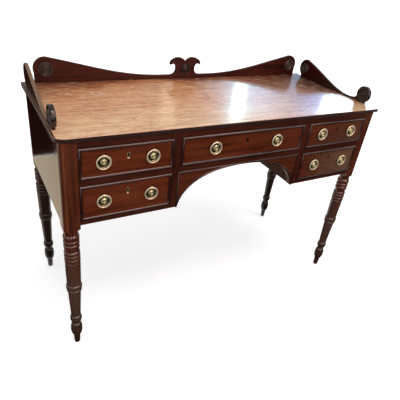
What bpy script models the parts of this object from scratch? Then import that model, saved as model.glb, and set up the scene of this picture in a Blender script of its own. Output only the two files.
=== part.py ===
"""A mahogany kneehole desk on four turned legs: a top with a scrolled gallery on three sides, two small
drawers in each pedestal, a wide drawer over an arched apron, and a brass ring pull in a turned plate at
each side of every drawer. Metres, +Z up. The front faces -Y, and the origin is on the floor under the
middle of the top."""

import math

import bmesh
import bpy
from mathutils import Matrix, Vector

# Top board
top_width = 1.220
top_depth = 0.493
top_height = 0.790
top_thickness = 0.013
top_corner_radius = 0.030
top_right_corner_radius = 0.009
top_edge_round = 0.002

# Carcase, set in from the edges of the top
side_overhang = 0.010
front_overhang = 0.0045
back_overhang = 0.003
post_size = 0.048
post_corner_radius = 0.016
post_drop = 0.021
post_shoulder = 0.007
side_panel_thickness = 0.014
back_panel_thickness = 0.012
frieze_height = 0.020
frieze_depth = 0.022
upper_opening_height = 0.097
middle_rail_height = 0.018
lower_opening_height = 0.115
bottom_board_thickness = 0.0135
rail_depth = 0.045
dust_board_thickness = 0.009
centre_rail_height = 0.016
kneehole_width = 0.483
stile_width = 0.026
stile_depth = 0.022
partition_thickness = 0.014
guide_height = 0.012
apron_thickness = 0.018
apron_housing = 0.006
arch_rise = 0.1225
arch_flat_share = 0.83
arch_foot_share = 0.30
joint_gap = 0.0003

# Drawers
front_clearance = 0.001
front_thickness = 0.019
bead_width = 0.007
bead_proud = 0.0035
box_wall = 0.010
box_floor = 0.006
box_rise = 0.008
box_back_gap = 0.0342
box_headroom = 0.005

# Locks
keyhole_radius = 0.0045
keyhole_drop = 0.0125
keyhole_foot_radius = 0.0032
keyhole_liner = 0.0014
keyhole_below_top = 0.031
lock_width = 0.056
lock_height = 0.040
lock_thickness = 0.009

# Ring pulls
pull_offset_share = 0.2583
centre_pull_offset_share = 0.2547
upper_pull_lift = 0.0035
lower_pull_lift = 0.0025
plate_radius = 0.0200
plate_thickness = 0.0024
boss_radius = 0.0125
boss_height = 0.0085
nub_radius = 0.0032
nub_height = 0.0028
stem_radius = 0.0025
stem_clearance = 0.0004
stem_tail = 0.0040
ring_radius = 0.0200
ring_wire_radius = 0.0018
ring_clearance = 0.0005
eye_wall = 0.0013
eye_width = 0.0044
eye_height = 0.0192
eye_stand = 0.0062

# Gallery
gallery_thickness = 0.012
gallery_inset = 0.008
back_edge_round = 0.0012
side_edge_round = 0.0040
back_head_setback = 0.080
back_head_height = 0.0455
back_head_radius = 0.0395
back_foot_setback = 0.052
back_strip_height = 0.0145
back_strip_end = 0.100
crest_half_width = 0.067
crest_height = 0.0803
side_head_setback = 0.069
side_head_height = 0.042
side_head_radius = 0.0375
side_foot_back = 0.048
scroll_setback = 0.0795
scroll_height = 0.0325
scroll_radius = 0.031
scroll_width = 0.0145
scroll_foot = 0.064
side_low_height = 0.0060
side_low_setback = 0.155
back_roundel_radius = 0.0245
side_roundel_radius = 0.0215
crest_roundel_radius = 0.0205
roundel_thickness = 0.0030
roundel_crest_height = 0.037

# Turned leg
leg_radius = 0.025
leg_overlap = 0.012
peg_radius = 0.0094
peg_top_radius = 0.0112

# Facets
leg_steps = 14
plate_steps = 12
stem_steps = 6
ring_steps = 16
wire_steps = 6
roundel_steps = 16
arc_steps = 6

# Places that follow from the sizes
carcase_half = top_width / 2 - side_overhang
front_plane = -top_depth / 2 + front_overhang
back_plane = top_depth / 2 - back_overhang
top_underside = top_height - top_thickness
post_inner = carcase_half - post_size
leg_x = carcase_half - post_size / 2
leg_front = front_plane + post_size / 2
leg_back = back_plane - post_size / 2
frieze_bottom = top_underside - frieze_height
middle_rail_top = frieze_bottom - upper_opening_height
middle_rail_bottom = middle_rail_top - middle_rail_height
bottom_board_top = middle_rail_bottom - lower_opening_height
carcase_bottom = bottom_board_top - bottom_board_thickness
post_bottom = carcase_bottom - post_drop
kneehole_half = kneehole_width / 2
stile_outer = kneehole_half + stile_width
centre_rail_bottom = middle_rail_top - centre_rail_height
back_panel_front = back_plane - back_panel_thickness
apron_top = centre_rail_bottom - joint_gap
arch_springing = carcase_bottom
gallery_front = top_depth / 2 - gallery_inset - gallery_thickness
gallery_side_inner = top_width / 2 - gallery_inset - gallery_thickness
back_head_centre = top_width / 2 - back_head_setback
back_foot_end = top_width / 2 - back_foot_setback
top_front = -top_depth / 2


def arc(centre, radius, start, end, steps=arc_steps):
    """Points of an arc in the plane of an outline, from start to end in degrees."""
    angles = [math.radians(start + (end - start) * i / steps) for i in range(steps + 1)]
    return [(centre[0] + radius * math.cos(a), centre[1] + radius * math.sin(a)) for a in angles]


def sweep(start, start_handle, end_handle, end, steps=arc_steps):
    """Points of a smooth curve between two ends, each with the handle that sets its direction."""
    points = []
    for i in range(steps + 1):
        t = i / steps
        weights = ((1 - t) ** 3, 3 * t * (1 - t) ** 2, 3 * t * t * (1 - t), t ** 3)
        ends = (start, start_handle, end_handle, end)
        points.append(tuple(sum(w * p[axis] for w, p in zip(weights, ends)) for axis in (0, 1)))
    return points


def without_repeats(points):
    """The points with each one that lies on the point before it left out, and none that closes the loop."""
    kept = []
    for point in points:
        if not kept or math.dist(point, kept[-1]) > joint_gap / 10:
            kept.append(point)
    return kept[:-1] if math.dist(kept[0], kept[-1]) < joint_gap / 10 else kept


def mirrored(points):
    """An outline of a right half, from the bottom up to the middle, with its left half added."""
    return points + [(-x, z) for x, z in reversed(points)]


def new_material(name, colour, roughness, metallic=0.0):
    material = bpy.data.materials.new(name)
    material.use_nodes = True
    shader = material.node_tree.nodes["Principled BSDF"]
    shader.inputs["Base Color"].default_value = (*colour, 1.0)
    shader.inputs["Roughness"].default_value = roughness
    shader.inputs["Metallic"].default_value = metallic
    return material


def place(name, mesh, material, location=(0, 0, 0), rotation=(0, 0, 0), parent=None):
    """A part of the desk: a named object with its mesh and its material."""
    obj = bpy.data.objects.new(name, mesh)
    if not mesh.materials:
        mesh.materials.append(material)
    obj.location = location
    obj.rotation_euler = rotation
    obj.parent = parent
    desk.objects.link(obj)
    return obj


def helper(name, mesh, location=(0, 0, 0), rotation=(0, 0, 0), parent=None):
    """A cutter, or a shape that a Boolean joins to a part: it isn't part of the desk itself."""
    obj = bpy.data.objects.new(name, mesh)
    obj.location = location
    obj.rotation_euler = rotation
    obj.parent = parent
    obj.hide_render = True
    obj.display_type = "WIRE"
    cutters.objects.link(obj)
    return obj


def combine(obj, other, operation):
    modifier = obj.modifiers.new(operation.lower() + "_" + other.name, "BOOLEAN")
    modifier.operation = operation
    modifier.object = other


def evaluated_mesh(obj, name):
    """The mesh that an object shows with its modifiers, welded where a curve's caps meet its sides."""
    bpy.context.view_layer.update()
    graph = bpy.context.evaluated_depsgraph_get()
    mesh = bpy.data.meshes.new_from_object(obj.evaluated_get(graph))
    mesh.name = name
    work = bmesh.new()
    work.from_mesh(mesh)
    bmesh.ops.remove_doubles(work, verts=work.verts, dist=joint_gap / 100)
    bmesh.ops.recalc_face_normals(work, faces=work.faces)
    work.to_mesh(mesh)
    work.free()
    return mesh


def smooth(mesh, angle=35):
    mesh.shade_smooth()
    mesh.set_sharp_from_angle(angle=math.radians(angle))
    return mesh


def prism(name, outline, thickness, rounding=0.0, segments=0):
    """A flat outline with a thickness, in the XY plane and centred on it. Its edges may be rounded."""
    curve = bpy.data.curves.new(name, "CURVE")
    curve.dimensions = "2D"
    curve.fill_mode = "BOTH"
    curve.extrude = thickness / 2
    loops = outline if isinstance(outline[0], list) else [outline]
    for loop in loops:
        points = without_repeats(loop)
        spline = curve.splines.new("POLY")
        spline.points.add(len(points) - 1)
        spline.use_cyclic_u = True
        for point, (x, y) in zip(spline.points, points):
            point.co = (x, y, 0, 1)
    guide = bpy.data.objects.new(name + "_outline", curve)
    bpy.context.scene.collection.objects.link(guide)
    mesh = evaluated_mesh(guide, name)
    bpy.data.objects.remove(guide)
    bpy.data.curves.remove(curve)
    if segments:
        round_rims(mesh, rounding, segments)
    return mesh


def round_rims(mesh, rounding, segments):
    """Rounds the edges between a prism's flat faces and its sides, except along a straight foot."""
    work = bmesh.new()
    work.from_mesh(mesh)
    bmesh.ops.dissolve_limit(work, angle_limit=math.radians(1), verts=work.verts, edges=work.edges)
    work.normal_update()
    rims = []
    for edge in work.edges:
        flat = [face for face in edge.link_faces if abs(face.normal.z) > math.cos(math.radians(1))]
        foot = all(abs(vert.co.y - joint_gap) < joint_gap / 10 for vert in edge.verts)
        if len(flat) == 1 and not foot:
            rims.append(edge)
    bmesh.ops.bevel(work, geom=rims, offset=rounding, segments=segments, profile=0.5, affect="EDGES")
    work.to_mesh(mesh)
    work.free()


def box_mesh(name, width, depth, height):
    mesh = bpy.data.meshes.new(name)
    work = bmesh.new()
    bmesh.ops.create_cube(work, size=1.0, matrix=Matrix.Diagonal((width, depth, height, 1.0)))
    work.to_mesh(mesh)
    work.free()
    return mesh


def block(name, low, high, material):
    """A board or a rail between two corners, with its origin at its middle."""
    low, high = Vector(low), Vector(high)
    return place(name, box_mesh(name, *(high - low)), material, (low + high) / 2)


def turned(name, profile, steps):
    """A turned shape about Z, from a profile of (radius, height) that runs from its top to its bottom."""
    mesh = bpy.data.meshes.new(name + "_profile")
    edges = [(i, i + 1) for i in range(len(profile) - 1)]
    mesh.from_pydata([(radius, 0, height) for radius, height in profile], edges, [])
    guide = bpy.data.objects.new(name + "_profile", mesh)
    bpy.context.scene.collection.objects.link(guide)
    screw = guide.modifiers.new("turn", "SCREW")
    screw.steps = screw.render_steps = steps
    screw.use_merge_vertices = True
    screw.merge_threshold = joint_gap / 100
    result = evaluated_mesh(guide, name)
    bpy.data.objects.remove(guide)
    bpy.data.meshes.remove(mesh)
    return result


def half_round(top, bottom, waist, radius, steps):
    """The outer side of a turned ring between two heights, from its waist out to its radius and back."""
    middle, half = (top + bottom) / 2, (top - bottom) / 2
    angles = [math.pi / 2 - math.pi * i / steps for i in range(steps + 1)]
    return [(waist + (radius - waist) * math.cos(a), middle + half * math.sin(a)) for a in angles]


for leftover in list(bpy.data.objects):
    bpy.data.objects.remove(leftover)
desk = bpy.data.collections.new("kneehole_desk")
cutters = bpy.data.collections.new("cutters")
bpy.context.scene.collection.children.link(desk)
bpy.context.scene.collection.children.link(cutters)
cutters.hide_render = True

faded_mahogany = new_material("faded_mahogany", (0.46, 0.21, 0.10), 0.35)
dark_mahogany = new_material("dark_mahogany", (0.060, 0.020, 0.012), 0.30)
red_mahogany = new_material("red_mahogany", (0.105, 0.028, 0.011), 0.28)
turned_mahogany = new_material("turned_mahogany", (0.075, 0.028, 0.018), 0.32)
drawer_oak = new_material("drawer_oak", (0.36, 0.21, 0.10), 0.60)
brass = new_material("brass", (0.62, 0.50, 0.26), 0.28, 1.0)

FACE_FRONT = (math.pi / 2, 0, 0)
FACE_SIDE = Matrix(((0, 0, 1), (1, 0, 0), (0, 1, 0))).to_euler()


def build_top():
    """One board with a softened edge and a well rounded front left corner. It lies on the posts and rails."""
    half, deep = top_width / 2, top_depth / 2
    left, right, back = top_corner_radius, top_right_corner_radius, top_thickness / 4
    outline = arc((half - back, deep - back), back, 0, 90, 2)
    outline += arc((back - half, deep - back), back, 90, 180, 2)
    outline += arc((left - half, left - deep), left, 180, 270)
    outline += arc((half - right, right - deep), right, 270, 360, 4)
    mesh = smooth(prism("top_board", outline, top_thickness - joint_gap, top_edge_round, 2), 45)
    place("top_board", mesh, faded_mahogany, (0, 0, top_height - (top_thickness - joint_gap) / 2))


def back_gallery_outline():
    """The back board in front view, above the top: a head at each end, two sweeps and the crest."""
    head = (back_head_centre, back_head_height)
    reach = back_foot_end - back_head_centre
    foot_angle = -math.degrees(math.acos(reach / back_head_radius))
    right = [(back_foot_end, joint_gap)]
    right += arc(head, back_head_radius, foot_angle, 98, 12)
    head_top = right[-1]
    drop = head_top[1] - back_strip_height
    run = head_top[0] - back_strip_end
    right += sweep(
        head_top,
        (head_top[0] - run * 0.36, head_top[1] - drop * 0.46),
        (back_strip_end + run * 0.38, back_strip_height),
        (back_strip_end, back_strip_height),
        12,
    )
    crest = lambda across, up: (crest_half_width * across, crest_height * up)
    strip_share = back_strip_height / crest_height
    right += sweep(crest(1.02, strip_share), crest(0.74, strip_share), crest(0.62, 0.30), crest(0.61, 0.46), 6)
    right += sweep(crest(0.61, 0.46), crest(0.60, 0.64), crest(0.74, 0.76), crest(0.90, 0.675), 5)
    right += sweep(crest(0.99, 0.66), crest(1.04, 0.80), crest(0.82, 1.0), crest(0.45, 1.0), 7)
    right += sweep(crest(0.45, 1.0), crest(0.28, 1.0), crest(0.12, 0.93), crest(0.0, 0.815), 4)
    return mirrored(right)


def side_gallery_outline():
    """A side board seen from +X, above the top: the high head at the back, the sweep and the scroll."""
    back, front = top_depth / 2, top_front
    head = (back - side_head_setback, side_head_height)
    foot_back = back - side_foot_back
    foot_angle = -math.degrees(math.acos((foot_back - head[0]) / side_head_radius))
    scroll = (front + scroll_setback, scroll_height)
    neck_radius = scroll_radius - side_edge_round
    foot_front = front + scroll_foot
    low = (front + side_low_setback, side_low_height)
    outline = [(foot_back, joint_gap)] + arc(head, side_head_radius, foot_angle, 100, 12)
    head_top = outline[-1]
    run, drop = head_top[0] - low[0], head_top[1] - low[1]
    outline += sweep(
        head_top,
        (head_top[0] - run * 0.40, head_top[1] - drop * 0.38),
        (low[0] + run * 0.32, low[1]),
        low,
        12,
    )
    notch = arc(scroll, scroll_radius, -18, 0)[0]
    gap = low[0] - notch[0]
    outline += sweep(low, (low[0] - gap * 0.55, low[1]), (notch[0] + gap * 0.04, notch[1] - gap * 0.30), notch, 5)
    front_angle = 360 - math.degrees(math.acos((foot_front - scroll[0]) / neck_radius))
    outline += arc(scroll, neck_radius, -18, front_angle, 12)
    outline.append((foot_front, joint_gap))
    return outline


def roundel_mesh(name, radius):
    """A turned disc with concentric rings, its back at height 0 and its face up."""
    face = roundel_thickness
    profile = [(0, face * 1.5), (radius * 0.16, face * 1.35), (radius * 0.26, face * 0.72)]
    for crown_share, foot_share in ((0.40, 0.51), (0.63, 0.75), (0.88, 1.0)):
        profile += [(radius * crown_share, face * 1.1), (radius * foot_share, face * 0.7)]
    profile += [(radius, 0), (0, 0)]
    return smooth(turned(name, profile, roundel_steps))


def domed_roundel_mesh(name, radius):
    """A turned disc with a plain dome inside a rounded rim, its back at height 0 and its face up."""
    face = roundel_thickness
    shares = ((0, 2.3), (0.34, 2.1), (0.62, 1.4), (0.74, 0.7), (0.86, 1.2), (1.0, 0.6))
    profile = [(radius * out, face * up) for out, up in shares]
    return smooth(turned(name, profile + [(radius, 0), (0, 0)], roundel_steps), 50)


def scroll_mesh(name):
    """The thick turned disc that ends a side board in front, with rings on both of its faces."""
    half = scroll_width / 2
    shares = ((0.18, 1.22), (0.25, 0.84), (0.30, 1.08), (0.50, 1.08), (0.55, 0.84), (0.61, 1.04), (0.88, 1.0))
    face = [(scroll_radius * out, half * up) for out, up in shares] + [(scroll_radius, half * 0.55)]
    profile = [(0, half * 1.28)] + face
    return turned(name, profile + [(out, -up) for out, up in reversed(profile)], roundel_steps + 2)


def build_gallery():
    """Three boards stand on the top, and each head and the crest carries a turned roundel."""
    base = top_height
    middle = gallery_front + gallery_thickness / 2
    mesh = prism("gallery_back", back_gallery_outline(), gallery_thickness, back_edge_round, 1)
    place("gallery_back", smooth(mesh), dark_mahogany, (0, middle, base), FACE_FRONT)
    face = gallery_front - joint_gap
    back_disc = roundel_mesh("roundel_back", back_roundel_radius)
    side_disc = roundel_mesh("roundel_side", side_roundel_radius)
    place("roundel_crest", domed_roundel_mesh("roundel_crest", crest_roundel_radius), dark_mahogany,
          (0, face, base + roundel_crest_height), FACE_FRONT)
    for side, name in ((-1, "left"), (1, "right")):
        place("roundel_back_" + name, back_disc, dark_mahogany,
              (side * back_head_centre, face, base + back_head_height), FACE_FRONT)
        x = side * (gallery_side_inner + gallery_thickness / 2)
        mesh = prism("gallery_" + name, side_gallery_outline(), gallery_thickness, side_edge_round, 2)
        board = place("gallery_" + name, smooth(mesh, 45), dark_mahogany, (x, 0, base), FACE_SIDE)
        inner = side * (gallery_side_inner - joint_gap)
        facing = (0, -side * math.pi / 2, 0)
        place("roundel_side_" + name, side_disc, dark_mahogany,
              (inner, top_depth / 2 - side_head_setback, base + side_head_height), facing)
        scroll = helper("scroll_" + name, scroll_mesh("scroll_" + name),
                        (x, top_front + scroll_setback, base + scroll_height), facing)
        combine(board, scroll, "UNION")


def leg_profile():
    """The turned leg from just inside its square post down to the floor, as (radius, height)."""
    height = lambda share: post_bottom * share
    radius = leg_radius
    neck = radius * 0.82
    profile = [(0, post_bottom + leg_overlap), (neck, post_bottom + leg_overlap), (neck, height(0.962))]
    for top_share, bottom_share, waist_share in ((0.957, 0.925, 0.88), (0.924, 0.897, 0.90), (0.896, 0.854, 0.85)):
        profile += half_round(height(top_share), height(bottom_share), radius * waist_share, radius * 0.97, 2)
    profile.append((neck, height(0.847)))
    for top_share, bottom_share, waist_share in ((0.841, 0.812, 0.90), (0.811, 0.783, 0.92), (0.782, 0.748, 0.92)):
        profile += half_round(height(top_share), height(bottom_share), radius * waist_share, radius * 0.97, 2)
    profile += [(radius * 0.975, height(0.740)), (radius * 0.885, height(0.562))]
    collar_shares = ((0.96, 0.557), (0.94, 0.549), (1.0, 0.540), (1.0, 0.528), (0.955, 0.514), (0.87, 0.502))
    profile += [(radius * out, height(up)) for out, up in collar_shares]
    profile += [(radius * 0.82, height(0.492)), (radius * 0.63, height(0.275))]
    profile += half_round(height(0.270), height(0.216), radius * 0.60, radius * 0.775, 3)
    profile.append((radius * 0.55, height(0.200)))
    profile += half_round(height(0.194), height(0.088), radius * 0.50, radius * 0.775, 5)
    profile += [(peg_top_radius, height(0.070)), (peg_radius, height(0.008)), (peg_radius * 0.85, 0), (0, 0)]
    return profile


def post_outline():
    """A post in plan about its own axis: three square corners, and a round one at -X -Y."""
    half, radius = post_size / 2, post_corner_radius
    square = [(half, -half), (half, half), (-half, half)]
    return square + arc((radius - half, radius - half), radius, 180, 270, 5)


def build_legs():
    """Four alike, each one piece: the square post between the rails, turned below into the leg."""
    post_height = top_underside - joint_gap - post_bottom
    post = prism("post", post_outline(), post_height)
    maker = helper("leg_blank", post, (0, 0, post_bottom + post_height / 2))
    clear, drop = post_size * 0.80, post_shoulder
    top = post_bottom + post_height + leg_overlap
    rounding = [(0, top), (clear, top), (clear, post_bottom + drop * 1.6), (post_size * 0.68, post_bottom + drop),
                (post_size * 0.60, post_bottom + drop * 0.45), (post_size * 0.50, post_bottom), (0, post_bottom)]
    shoulder = helper("leg_shoulder", turned("leg_shoulder", rounding, leg_steps))
    combine(maker, shoulder, "INTERSECT")
    turning = helper("leg_turning", turned("leg_turning", leg_profile(), leg_steps))
    combine(maker, turning, "UNION")
    mesh = smooth(evaluated_mesh(maker, "leg"), 40)
    mesh.transform(Matrix.Translation((0, 0, post_bottom + post_height / 2)))
    for spare in (maker, shoulder, turning):
        bpy.data.objects.remove(spare)
    corners = (("front_left", -1, leg_front, 0), ("front_right", 1, leg_front, 1),
               ("back_right", 1, leg_back, 2), ("back_left", -1, leg_back, 3))
    for name, side, y, turns in corners:
        place("leg_" + name, mesh, turned_mahogany, (side * leg_x, y, 0), (0, 0, turns * math.pi / 2))


def thin_behind_rail(board, name, centre_x, width, thickness):
    """Thins a board from below behind its front rail, down to a dust board."""
    overrun = rail_depth
    span = back_panel_front - front_plane - rail_depth
    lost = thickness - dust_board_thickness
    hollow = box_mesh("dust_board_" + name, width + 2 * overrun, 2 * span, 2 * lost)
    at = (centre_x, front_plane + rail_depth + span, middle_rail_top - thickness)
    combine(board, helper("dust_board_" + name, hollow, at), "DIFFERENCE")


def pedestal_board(name, side, top, thickness):
    """A board across a pedestal, notched round the posts and the stile, with a drawer guide at each side."""
    stile_edge, post_edge = stile_outer + joint_gap, post_inner - joint_gap
    inner = kneehole_half + partition_thickness + joint_gap
    outer = carcase_half - side_panel_thickness - joint_gap
    back = back_panel_front - joint_gap
    near, far = leg_front + post_size / 2 + joint_gap, leg_back - post_size / 2 - joint_gap
    stile_back = front_plane + stile_depth + joint_gap
    plan = [(stile_edge, front_plane), (post_edge, front_plane), (post_edge, near), (outer, near), (outer, far),
            (post_edge, far), (post_edge, back), (inner, back), (inner, stile_back), (stile_edge, stile_back)]
    mesh = prism(name, [(side * x, y) for x, y in plan], thickness)
    board = place(name, mesh, dark_mahogany, (0, 0, top - thickness / 2))
    for end, low, high in (("inner", inner + joint_gap, stile_outer), ("outer", post_inner, outer - joint_gap)):
        length = far - near - 2 * joint_gap
        guide = box_mesh("guide_" + name + "_" + end, high - low, length, 2 * guide_height)
        at = (side * (low + high) / 2, (near + far) / 2, top)
        combine(board, helper("guide_" + name + "_" + end, guide, at), "UNION")
    return board


def arch_points(half):
    """The arch of the apron's right half, from its foot at the stile up to the middle."""
    foot = (half - bead_width - 2 * joint_gap, arch_springing)
    crown = (0, arch_springing + arch_rise)
    foot_handle = (foot[0] - bead_width, foot[1] + arch_rise * arch_foot_share)
    crown_handle = (foot[0] * arch_flat_share, crown[1])
    return sweep(foot, foot_handle, crown_handle, crown, 12)


def bead_strip(name, points, radius):
    """A round bead along an open line of points in the XY plane, with closed ends."""
    curve = bpy.data.curves.new(name, "CURVE")
    curve.dimensions = "3D"
    curve.bevel_depth = radius
    curve.bevel_resolution = 1
    curve.use_fill_caps = True
    points = without_repeats(points)
    spline = curve.splines.new("POLY")
    spline.points.add(len(points) - 1)
    for point, (x, y) in zip(spline.points, points):
        point.co = (x, y, 0, 1)
    guide = bpy.data.objects.new(name + "_line", curve)
    bpy.context.scene.collection.objects.link(guide)
    mesh = evaluated_mesh(guide, name)
    bpy.data.objects.remove(guide)
    bpy.data.curves.remove(curve)
    return mesh


def build_apron():
    """The arched board housed between the stiles, under the centre rail, with a bead round its outline."""
    half = kneehole_half + apron_housing - joint_gap
    arch = arch_points(half)
    outline = mirrored([(half, apron_top), (half, arch_springing)] + arch)
    middle = front_plane + apron_thickness / 2
    board = place("apron", prism("apron", outline, apron_thickness), dark_mahogany, (0, middle, 0), FACE_FRONT)
    radius = bead_width / 2
    inset = radius + joint_gap
    frame = [(half - inset, arch_springing + joint_gap), (half - inset, apron_top - inset)]
    frame += [(-x, z) for x, z in reversed(frame)]
    along = [(x + inset, z) for x, z in arch[:1]]
    for before, point, after in zip(arch, arch[1:], arch[2:]):
        run, rise = after[0] - before[0], after[1] - before[1]
        length = math.hypot(run, rise)
        along.append((point[0] + inset * rise / length, point[1] - inset * run / length))
    along[0] = (along[0][0], along[0][1] + 2 * joint_gap)
    along.append((0, arch[-1][1] + inset))
    for name, line in (("frame", frame), ("arch", mirrored(along))):
        bead = bead_strip("apron_bead_" + name, line, radius)
        at = (0, front_plane + joint_gap, 0)
        combine(board, helper("apron_bead_" + name, bead, at, FACE_FRONT), "UNION")


def build_partition(side, name):
    """The inner side of a pedestal, one piece with the stile in front of it, up to the top board."""
    panel = kneehole_half + partition_thickness
    stile_back, back = front_plane + stile_depth, back_panel_front - joint_gap
    plan = [(kneehole_half, front_plane), (stile_outer, front_plane), (stile_outer, stile_back),
            (panel, stile_back), (panel, back), (kneehole_half, back)]
    low, high = carcase_bottom, top_underside - joint_gap
    mesh = prism("partition_" + name, [(side * x, y) for x, y in plan], high - low)
    board = place("partition_" + name, mesh, dark_mahogany, (0, 0, (low + high) / 2))
    cuts = (("apron", carcase_bottom, apron_top, apron_housing, apron_thickness),
            ("frieze", top_height, frieze_bottom, 2 * stile_width, frieze_depth))
    for piece, end, reach, into, depth in cuts:
        cutter = box_mesh("notch_" + piece + "_" + name, 2 * (into + joint_gap), 2 * (depth + joint_gap),
                          2 * (abs(reach - end) + joint_gap))
        at = (side * kneehole_half, front_plane, end)
        combine(board, helper("notch_" + piece + "_" + name, cutter, at), "DIFFERENCE")


def build_carcase():
    """The boards between the posts: side panels, back, frieze rail, partitions, dust boards and bottoms."""
    side_low, side_high = leg_front + post_size / 2 + joint_gap, leg_back - post_size / 2 - joint_gap
    top = top_underside - joint_gap
    for side, name in ((-1, "left"), (1, "right")):
        faces = sorted((side * carcase_half, side * (carcase_half - side_panel_thickness)))
        block("side_panel_" + name, (faces[0], side_low, carcase_bottom), (faces[1], side_high, top), dark_mahogany)
        build_partition(side, name)
        board = pedestal_board("mid_board_" + name, side, middle_rail_top, middle_rail_height)
        thin_behind_rail(board, name, side * leg_x / 2, leg_x, middle_rail_height)
        pedestal_board("bottom_board_" + name, side, bottom_board_top, bottom_board_thickness)
    half = kneehole_half - joint_gap
    board = block("centre_board", (-half, front_plane, centre_rail_bottom),
                  (half, back_panel_front - joint_gap, middle_rail_top), dark_mahogany)
    thin_behind_rail(board, "centre", 0, kneehole_width, centre_rail_height)
    reach = post_inner - joint_gap
    block("frieze_rail", (-reach, front_plane, frieze_bottom), (reach, front_plane + frieze_depth, top), dark_mahogany)
    back = [(reach, carcase_bottom), (reach, top), (-reach, top), (-reach, carcase_bottom),
            (-kneehole_half, carcase_bottom), (-kneehole_half, centre_rail_bottom),
            (kneehole_half, centre_rail_bottom), (kneehole_half, carcase_bottom)]
    place("back_panel", prism("back_panel", back, back_panel_thickness), dark_mahogany,
          (0, back_plane - back_panel_thickness / 2, 0), FACE_FRONT)


def beaded_front_mesh(name, width, height):
    """A drawer front about its middle, with its field at y 0 and a rounded bead round its edge."""
    low_y, high_y = -bead_proud, front_thickness
    work = bmesh.new()
    matrix = Matrix.Translation((0, (low_y + high_y) / 2, 0)) @ Matrix.Diagonal((width, high_y - low_y, height, 1))
    bmesh.ops.create_cube(work, size=1.0, matrix=matrix)
    work.normal_update()
    face = min(work.faces, key=lambda f: f.normal.y)
    bmesh.ops.inset_region(work, faces=[face], thickness=bead_width)
    sunk = bmesh.ops.extrude_discrete_faces(work, faces=[face])["faces"][0]
    for vert in sunk.verts:
        vert.co.y = 0
    rims = [edge for edge in work.edges if all(abs(vert.co.y - low_y) < joint_gap / 10 for vert in edge.verts)]
    rims = [edge for edge in rims if min(abs(f.normal.y) for f in edge.link_faces) < 0.5]
    bmesh.ops.bevel(work, geom=rims, offset=bead_width * 0.42, segments=3, profile=0.5, affect="EDGES")
    mesh = bpy.data.meshes.new(name)
    work.to_mesh(mesh)
    work.free()
    return mesh


def build_drawer_box(name, width, height, bottom_z, slide):
    """The oak sides, back and raised bottom of a drawer as one tray, closed in front by the drawer front."""
    near = front_thickness + joint_gap
    far = back_panel_front - box_back_gap - front_plane
    box = place("drawer_box_" + name, box_mesh("drawer_box_" + name, width, far - near, height), drawer_oak,
                (0, (near + far) / 2, bottom_z + height / 2), parent=slide)
    inside = width - 2 * box_wall
    floor = box_rise + box_floor
    deep = 2 * (far - box_wall - near)
    well = box_mesh("drawer_well_" + name, inside, deep, 2 * (height - floor))
    combine(box, helper("drawer_well_" + name, well, (0, near, bottom_z + height), parent=slide), "DIFFERENCE")
    under = box_mesh("drawer_underside_" + name, inside, deep, 2 * box_rise)
    combine(box, helper("drawer_underside_" + name, under, (0, near, bottom_z), parent=slide), "DIFFERENCE")


def keyhole_outline(grow=0.0):
    """A keyhole about the middle of its round head: the head over a narrower round foot."""
    head, foot = keyhole_radius + grow, keyhole_foot_radius + grow
    side = math.degrees(math.asin(foot / head * 0.8))
    outline = arc((0, 0), head, -90 + side, 270 - side, 10)
    return outline + arc((0, -keyhole_drop), foot, 180, 360, 6)


def plate_profile():
    """A pull's backplate and boss, its face up: the nub, the boss, the stepped rim and the stem behind."""
    step = plate_thickness
    profile = [(0, boss_height + nub_height), (nub_radius * 0.85, boss_height + nub_height * 0.7)]
    profile += [(nub_radius, boss_height * 0.98), (boss_radius * 0.62, boss_height * 0.88)]
    profile += [(boss_radius * 0.92, boss_height * 0.56), (boss_radius, step)]
    profile += [(plate_radius * 0.80, step), (plate_radius, step * 0.45), (plate_radius, 0), (stem_radius, 0)]
    back = -front_thickness - stem_tail
    return profile + [(stem_radius, back), (0, back)]


def pull_meshes():
    """The plate with its eye, and the ring, each about the point that places it, with the face towards -Y."""
    plate = helper("pull_plate", turned("pull_plate", plate_profile(), plate_steps))
    inner = ring_wire_radius + ring_clearance
    outer = inner + eye_wall
    lug = arc((eye_stand, eye_height), outer, -90, 90, 6)
    base = plate_thickness * 0.4
    lug += [(base, eye_height + outer * 0.3), (base, eye_height - outer)]
    hole = arc((eye_stand, eye_height), inner, 0, 360, 10)
    eye = prism("pull_eye", [lug, hole], eye_width)
    eye.transform(Matrix(((0, 0, 1, 0), (0, 1, 0, 0), (1, 0, 0, 0), (0, 0, 0, 1))))
    eye.flip_normals()
    combine(plate, helper("pull_eye", eye), "UNION")
    plate_mesh = smooth(evaluated_mesh(plate, "pull_plate"), 50)
    plate_mesh.transform(Matrix.Rotation(math.pi / 2, 4, "X"))
    for spare in list(cutters.objects):
        if spare.name in ("pull_plate", "pull_eye"):
            bpy.data.objects.remove(spare)
    bpy.ops.mesh.primitive_torus_add(major_segments=ring_steps, minor_segments=wire_steps,
                                     major_radius=ring_radius, minor_radius=ring_wire_radius)
    torus = bpy.context.object
    ring_mesh = evaluated_mesh(torus, "ring")
    ring_mesh.transform(Matrix.Translation((0, 0, -ring_radius)) @ Matrix.Rotation(math.pi / 2, 4, "X"))
    bpy.data.objects.remove(torus)
    return plate_mesh, smooth(ring_mesh, 60)


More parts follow.
